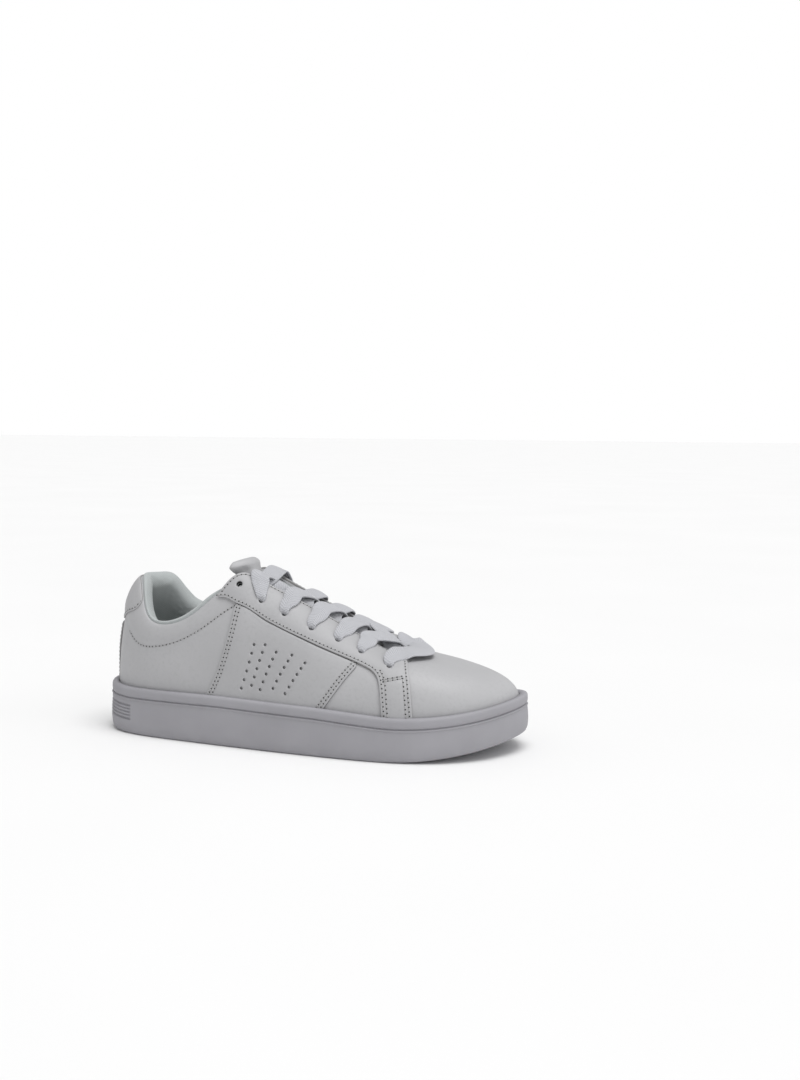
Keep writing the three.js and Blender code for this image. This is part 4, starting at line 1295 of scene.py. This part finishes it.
def tongue():
    """One padded tongue: leather outside, knit inside, a seam a little way in from the edge."""
    us = np.concatenate([np.linspace(0.005, 0.9, 120), np.linspace(0.905, 1.0, 40)])
    n = 64
    around = np.linspace(0, 2 * math.pi, n, endpoint=False)
    c, s = np.cos(around), np.sin(around)
    v = 0.5 - 0.5 * np.sign(c) * np.abs(c) ** 0.8
    height = np.sign(s) * np.abs(s) ** 0.62
    crown = 1 - (2 * v - 1) ** 4
    from_edge = np.minimum(v, 1 - v) * 30
    seam = -0.5 * np.exp(-((from_edge - 4.0) / 1.2) ** 2) * (height > 0.2)
    rings = []
    for u in us:
        thick = 3.7 + lerp(2.5, 5, smooth(u, 0.1, 0.7)) - 3 * smooth(u, 0.92, 1)
        closing = math.sqrt(max(0.0, 1 - clamp((u - 0.965) / 0.036) ** 2))
        puff = 0.9 * smooth(u, 0.5, 0.8) + 3.0 * smooth(u, 0.82, 0.93) * closing
        h = -thick / 2 + height * (thick / 2) * closing
        rings.append(off(tongue_face, np.full(n, u), v, h + puff * crown * clamp(height) + seam))
    faces = grid(len(rings), n, closed=True) + tongue_ends(len(rings), n)
    o = make("tongue", np.vstack(rings), faces, [LEATHER_MATERIAL, LINING_MATERIAL])
    share = np.repeat(us, n)
    most = 0.5 * smooth(share, 0.1, 0.3) + 0.9 * smooth(share, 0.86, 0.94)
    coarse = rings[::4]
    swell(o, (np.vstack(coarse), grid(len(coarse), n, closed=True) + tongue_ends(len(coarse), n)), most)
    sides = np.sin(around + math.pi / n)
    for k, polygon in enumerate(o.data.polygons):
        if k < (len(rings) - 1) * n and sides[k % n] < -0.2:
            polygon.material_index = 1
    nodes = [f"tongue_{end}_{part}" for end in ("base", "tip") for part in ("leather", "foam", "lining")]
    stands_for(o, "leather", *nodes)
    return o


# ---- lace --------------------------------------------------------------------------------------
OUTSIDE, INSIDE = OVERLAY_OVER + 1.0, LINING_OVER - 1.8
# How high the lower and the upper strand of a crossing run over the tongue.
LOW, HIGH = 3.6, 6.0
LACED_ROWS = 6
# The ways the lace's width lies.
ALONG_THROAT = (-0.9, 0, 0.43)
ALONG_VAMP = (-1, 0, 0.2)


def stop_at(side, t, s, depth, width, along=ALONG_THROAT):
    """A stop on the lace's route: its place, its width as a share of the lace's, the way that width lies."""
    return (*off(upper, float(side(t)), s, depth), width * LACE_WIDTH, *along)


def at_hole(side, row):
    """Gathered, through the eyestay's hole."""
    t, s = EYELETS[row]
    return [
        stop_at(side, t, s + 0.03, OUTSIDE + 0.1, 0.66),
        stop_at(side, t, s + 0.004, OUTSIDE - 1.1, 0.5),
        stop_at(side, t, s, OUTSIDE - 3.6, 0.36),
    ]


def into_hole(side, row, lean=0.0):
    """Over the edge of the throat, flat on the eyestay, and down into the hole."""
    t, s = EYELETS[row]
    return [
        stop_at(side, t + lean, TOP_EDGE + 0.03, OUTSIDE + 1.3, 1.2),
        stop_at(side, t + 0.65 * lean, lerp(s, 1, 0.62), OUTSIDE + 0.5, 1.1),
        stop_at(side, t + 0.25 * lean, s + 0.085, OUTSIDE + 0.25, 0.88),
        *at_hole(side, row),
    ]


def under_eyestay(side, row, lean):
    t, s = EYELETS[row]
    return [
        stop_at(side, t, s + 0.004, INSIDE + 2.4, 0.3),
        stop_at(side, t, s + 0.028, INSIDE - 0.6, 0.4),
        stop_at(side, t + lean, TOP_EDGE - 0.05, INSIDE - 0.2, 0.85),
    ]


def over_tongue(x, v, height, width=1.2):
    share = np.interp(-x, -TONGUE_LINE[:, 0], TONGUE_ALONG / TONGUE_ALONG[-1])
    return (*off(tongue_face, share, v, height), width * LACE_WIDTH, *ALONG_THROAT)


def edge_x(row):
    return float(upper(EYELETS[row][0], 1.0)[0])


def crossing(side, row, height):
    near = 0.74 if side is lateral else 0.26
    ahead = 0.42 if row == 0 else 0
    return [
        over_tongue(lerp(edge_x(row), edge_x(row + 1), 0.28 - ahead), near, 2.6, 1.1),
        over_tongue(lerp(edge_x(row), edge_x(row + 1), 0.5 - ahead), 0.5, height),
    ]


def strand(start, lift):
    """One end of the lace, from the first row's hole to where it is tucked in."""
    side, last, stops = start, LACED_ROWS - 1, []
    other = {lateral: across, across: lateral}
    for row in range(last):
        stops += under_eyestay(side, row, 0.1 if row == 0 else -0.12)
        stops += crossing(side, row, (HIGH if (row % 2 == 0) == lift else LOW) + (1.5 if row == 0 else 0))
        side = other[side]
        if row + 1 < last:
            stops += into_hole(side, row + 1, 0.26)
    far = other[side]
    x = lerp(edge_x(last), edge_x(last + 1), 0.1)
    stops += under_eyestay(side, last, 0.1)[::-1] + into_hole(side, last)[::-1]
    stops += [
        over_tongue(x, 0.5, (LOW if lift else HIGH) + 3.0),
        over_tongue(x, 0.78 if far is lateral else 0.22, LOW + 2.2, 1.0),
        stop_at(far, 6.7, TOP_EDGE - 0.05, INSIDE - 0.2, 0.5),
        stop_at(far, 6.5, 0.84, INSIDE - 1.2, 0.4),
        stop_at(far, 6.4, 0.74, INSIDE - 1.8, 0.35),
    ]
    return stops


def first_bar():
    """The lace's middle: from hole to hole, sweeping forward over the vamp ahead of the throat."""
    t, s = EYELETS[0]

    def half(side, sweep, lift):
        return [
            *at_hole(side, 0)[::-1],
            stop_at(side, t + 0.1, s + 0.09, OUTSIDE + 0.4, 0.95),
            stop_at(side, t + 0.42 * sweep, s + 0.17, OUTSIDE + 0.7, 1.25),
            stop_at(side, t + 1.05 * sweep, s + 0.225, OUTSIDE + 0.4 + lift, 1.55, ALONG_VAMP),
            stop_at(side, t + 2.4 * sweep, s + 0.24, OUTSIDE + 0.6 + lift, 1.6, ALONG_VAMP),
        ]

    middle = stop_at(lateral, 14.6, 0.935, OUTSIDE + 1.6, 1.6, ALONG_VAMP)
    return half(across, 0.85, 0.3) + [middle] + half(lateral, 1.05, 1.2)[::-1]


def lace_route():
    return strand(across, True)[::-1] + first_bar() + strand(lateral, False)


def lace():
    """A flat woven lace: thin, slightly cupped across, with firm edges, gathered where a hole takes it."""
    route = spline(lace_route(), 10)
    length = np.linalg.norm(np.diff(route[:, :3], axis=0), axis=1)
    along = np.concatenate([[0], np.cumsum(length)])
    at = np.linspace(0, along[-1], int(along[-1] / 0.9))
    route = np.stack([np.interp(at, along, route[:, k]) for k in range(7)], 1)
    for _ in range(3):
        route[1:-1] = (route[:-2] + 2 * route[1:-1] + route[2:]) / 4
    p, width, wide = route[:, :3], route[:, 3], route[:, 4:]
    tangent = unit(np.gradient(p, axis=0))
    wide = unit(wide - tangent * (tangent * wide).sum(1)[:, None])
    thick = np.cross(tangent, wide)
    sides = 24
    a = np.linspace(0, 2 * math.pi, sides, endpoint=False)
    c, s = np.cos(a), np.sin(a)
    across_lace = np.sign(c) * np.abs(c) ** 0.62
    body = np.sign(s) * np.abs(s) ** 0.45
    narrow = clamp(1 - width / LACE_WIDTH)
    half = LACE_THICK / 2 * (1 + 1.2 * narrow)
    edge_cord = 1 + 0.3 * np.exp(-((np.abs(across_lace) - 0.86) / 0.12) ** 2)
    # A slack lace isn't quite flat: it cups, and rolls a little one way and the other.
    cup = 0.9 * (1 - across_lace**2) - 0.3
    roll = 0.45 * np.sin(at / 7.3) * (1 - narrow)
    out = np.sign((thick * np.array([0.3, 0, 1])).sum(1))
    rings = p[:, None] + wide[:, None] * (width[:, None] / 2 * across_lace)[..., None]
    rings = rings + thick[:, None] * (half[:, None] * body * edge_cord)[..., None]
    lift = cup * (1 - 0.8 * narrow)[:, None] + roll[:, None] * across_lace
    rings = rings + thick[:, None] * (out[:, None] * lift)[..., None]
    n = len(at)
    uv = np.stack([np.broadcast_to(at[:, None], (n, sides)), width[:, None] / 2 * across_lace[None]], -1)
    ends = [list(range(sides))[::-1], [(n - 1) * sides + i for i in range(sides)]]
    faces = grid(n, sides, closed=True) + ends
    o = make("lace", rings.reshape(-1, 3), faces, LACE_MATERIAL, uv.reshape(-1, 2))
    return bends(stands_for(o, "lace", "lace"))


def aglet(name, side):
    """The lace's plastic tip: a thin sleeve, crimped in two places."""
    a = off(upper, float(side(6.35)), 0.7, INSIDE - 2)
    b = off(upper, float(side(6.25)), 0.54, INSIDE - 2.8)
    axis = unit(b - a)
    e = unit(np.cross(axis, (0, 0, 1)))
    f = np.cross(axis, e)
    sides = 20
    turn = np.linspace(0, 2 * math.pi, sides, endpoint=False)
    profile = [
        (-0.1, 0.6), (0, 1.4), (0.03, 1.5), (0.3, 1.5), (0.33, 1.3), (0.36, 1.5), (0.6, 1.5), (0.63, 1.3),
        (0.66, 1.5), (0.95, 1.45), (1.0, 1.2), (1.0, 0.3),
    ]
    rows = [lerp(a, b, u) + r * (np.cos(turn)[:, None] * e + np.sin(turn)[:, None] * f) for u, r in profile]
    faces = grid(len(rows), sides, closed=True) + [list(range(sides))[::-1]]
    o = make(f"aglet_{name}", np.vstack(rows), faces, AGLET_MATERIAL)
    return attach(stands_for(o, "aglet", f"aglet_{name}"), "rearfoot")


# ---- the shoe ----------------------------------------------------------------------------------
SIDES = (("lateral", lateral), ("medial", across))


def build_shoe():
    cupsole()
    tread()
    midsole_and_insole()
    for name, side in SIDES:
        thread = Thread()
        quarter(name, side, thread)
        eyestay(name, side, thread)
        side_panel(name, side, thread)
        bends(thread.made(f"stitching_{name}"))
        aglet(name, side)
    vamp()
    thread = Thread()
    heel_tab(thread)
    heel_patch(thread)
    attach(thread.made("stitching_heel"), "rearfoot")
    for name, side in SIDES:
        quarter_lining(name, side)
    vamp_lining()
    collar()
    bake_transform(tongue())
    lace()
    for node in ("heel_counter", "toe_puff"):
        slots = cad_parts[node].data.materials
        slots.clear()
        slots.append(STIFFENER_MATERIAL)


# ---- studio ------------------------------------------------------------------------------------
AZIMUTH, ELEVATION = math.radians(20), math.radians(11)
TARGET = Vector((0, 0, 0.045))
DISTANCE = 0.85
SENSOR, LENS = 36, 40.967
# Where the target lies in the view, as slopes to the right of and above the middle.
TARGET_SLOPES = (-0.07168, -0.10692)
SKY, BACKDROP = 0.48, 1.0


def camera():
    """Looks at the outer side from a little ahead and above, with the shoe low and to the left."""
    data = bpy.data.cameras.new("camera")
    data.sensor_width = SENSOR
    data.lens = LENS
    cam = bpy.data.objects.new("camera", data)
    bpy.context.scene.collection.objects.link(cam)
    level = math.cos(ELEVATION)
    back = Vector((math.sin(AZIMUTH) * level, -math.cos(AZIMUTH) * level, math.sin(ELEVATION)))
    right = Vector((math.cos(AZIMUTH), math.sin(AZIMUTH), 0))
    up = back.cross(right)
    facing = Matrix((right, up, back)).transposed()
    aim = Vector((*TARGET_SLOPES, -1)).normalized()
    turn = Vector((0, 0, -1)).rotation_difference(aim).to_matrix().transposed()
    cam.matrix_world = Matrix.Translation(TARGET + back * DISTANCE) @ (facing @ turn).to_4x4()
    bpy.context.scene.camera = cam


def sun(name, place, strength, angle):
    """A softbox so far off that it lights the floor evenly; place is where it shines from."""
    data = bpy.data.lights.new(name, "SUN")
    data.energy = strength
    data.angle = math.radians(angle)
    o = bpy.data.objects.new(name, data)
    o.rotation_mode = "QUATERNION"
    o.rotation_quaternion = Vector(place).to_track_quat("Z", "Y")
    bpy.context.scene.collection.objects.link(o)


def studio():
    scene = bpy.context.scene
    scene.view_settings.view_transform = "Standard"
    world = bpy.data.worlds.new("studio")
    scene.world = world
    world.use_nodes = True
    background = world.node_tree.nodes["Background"]
    background.inputs["Color"].default_value = (1, 1, 1, 1)
    rays = world.node_tree.nodes.new("ShaderNodeLightPath")
    level = world.node_tree.nodes.new("ShaderNodeMapRange")
    level.inputs["To Min"].default_value = SKY
    level.inputs["To Max"].default_value = BACKDROP
    world.node_tree.links.new(rays.outputs["Is Camera Ray"], level.inputs["Value"])
    world.node_tree.links.new(level.outputs[0], background.inputs["Strength"])
    sun("key", (0.2, -0.12, 1.0), 1.9, 40)
    sun("fill", (1.0, -0.35, 0.45), 0.55, 60)
    reach = 60.0
    corners = [(-reach, -reach, 0), (reach, -reach, 0), (reach, reach, 0), (-reach, reach, 0)]
    n = Nodes("floor")
    tone = n.mix(n.noise(3, 2), (0.86, 0.86, 0.86, 1), (0.9, 0.9, 0.9, 1))
    floor = make("floor", np.array(corners) / MM, [(0, 1, 2, 3)], n.set(Base_Color=tone, Roughness=0.8))


camera()
studio()
build_shoe()
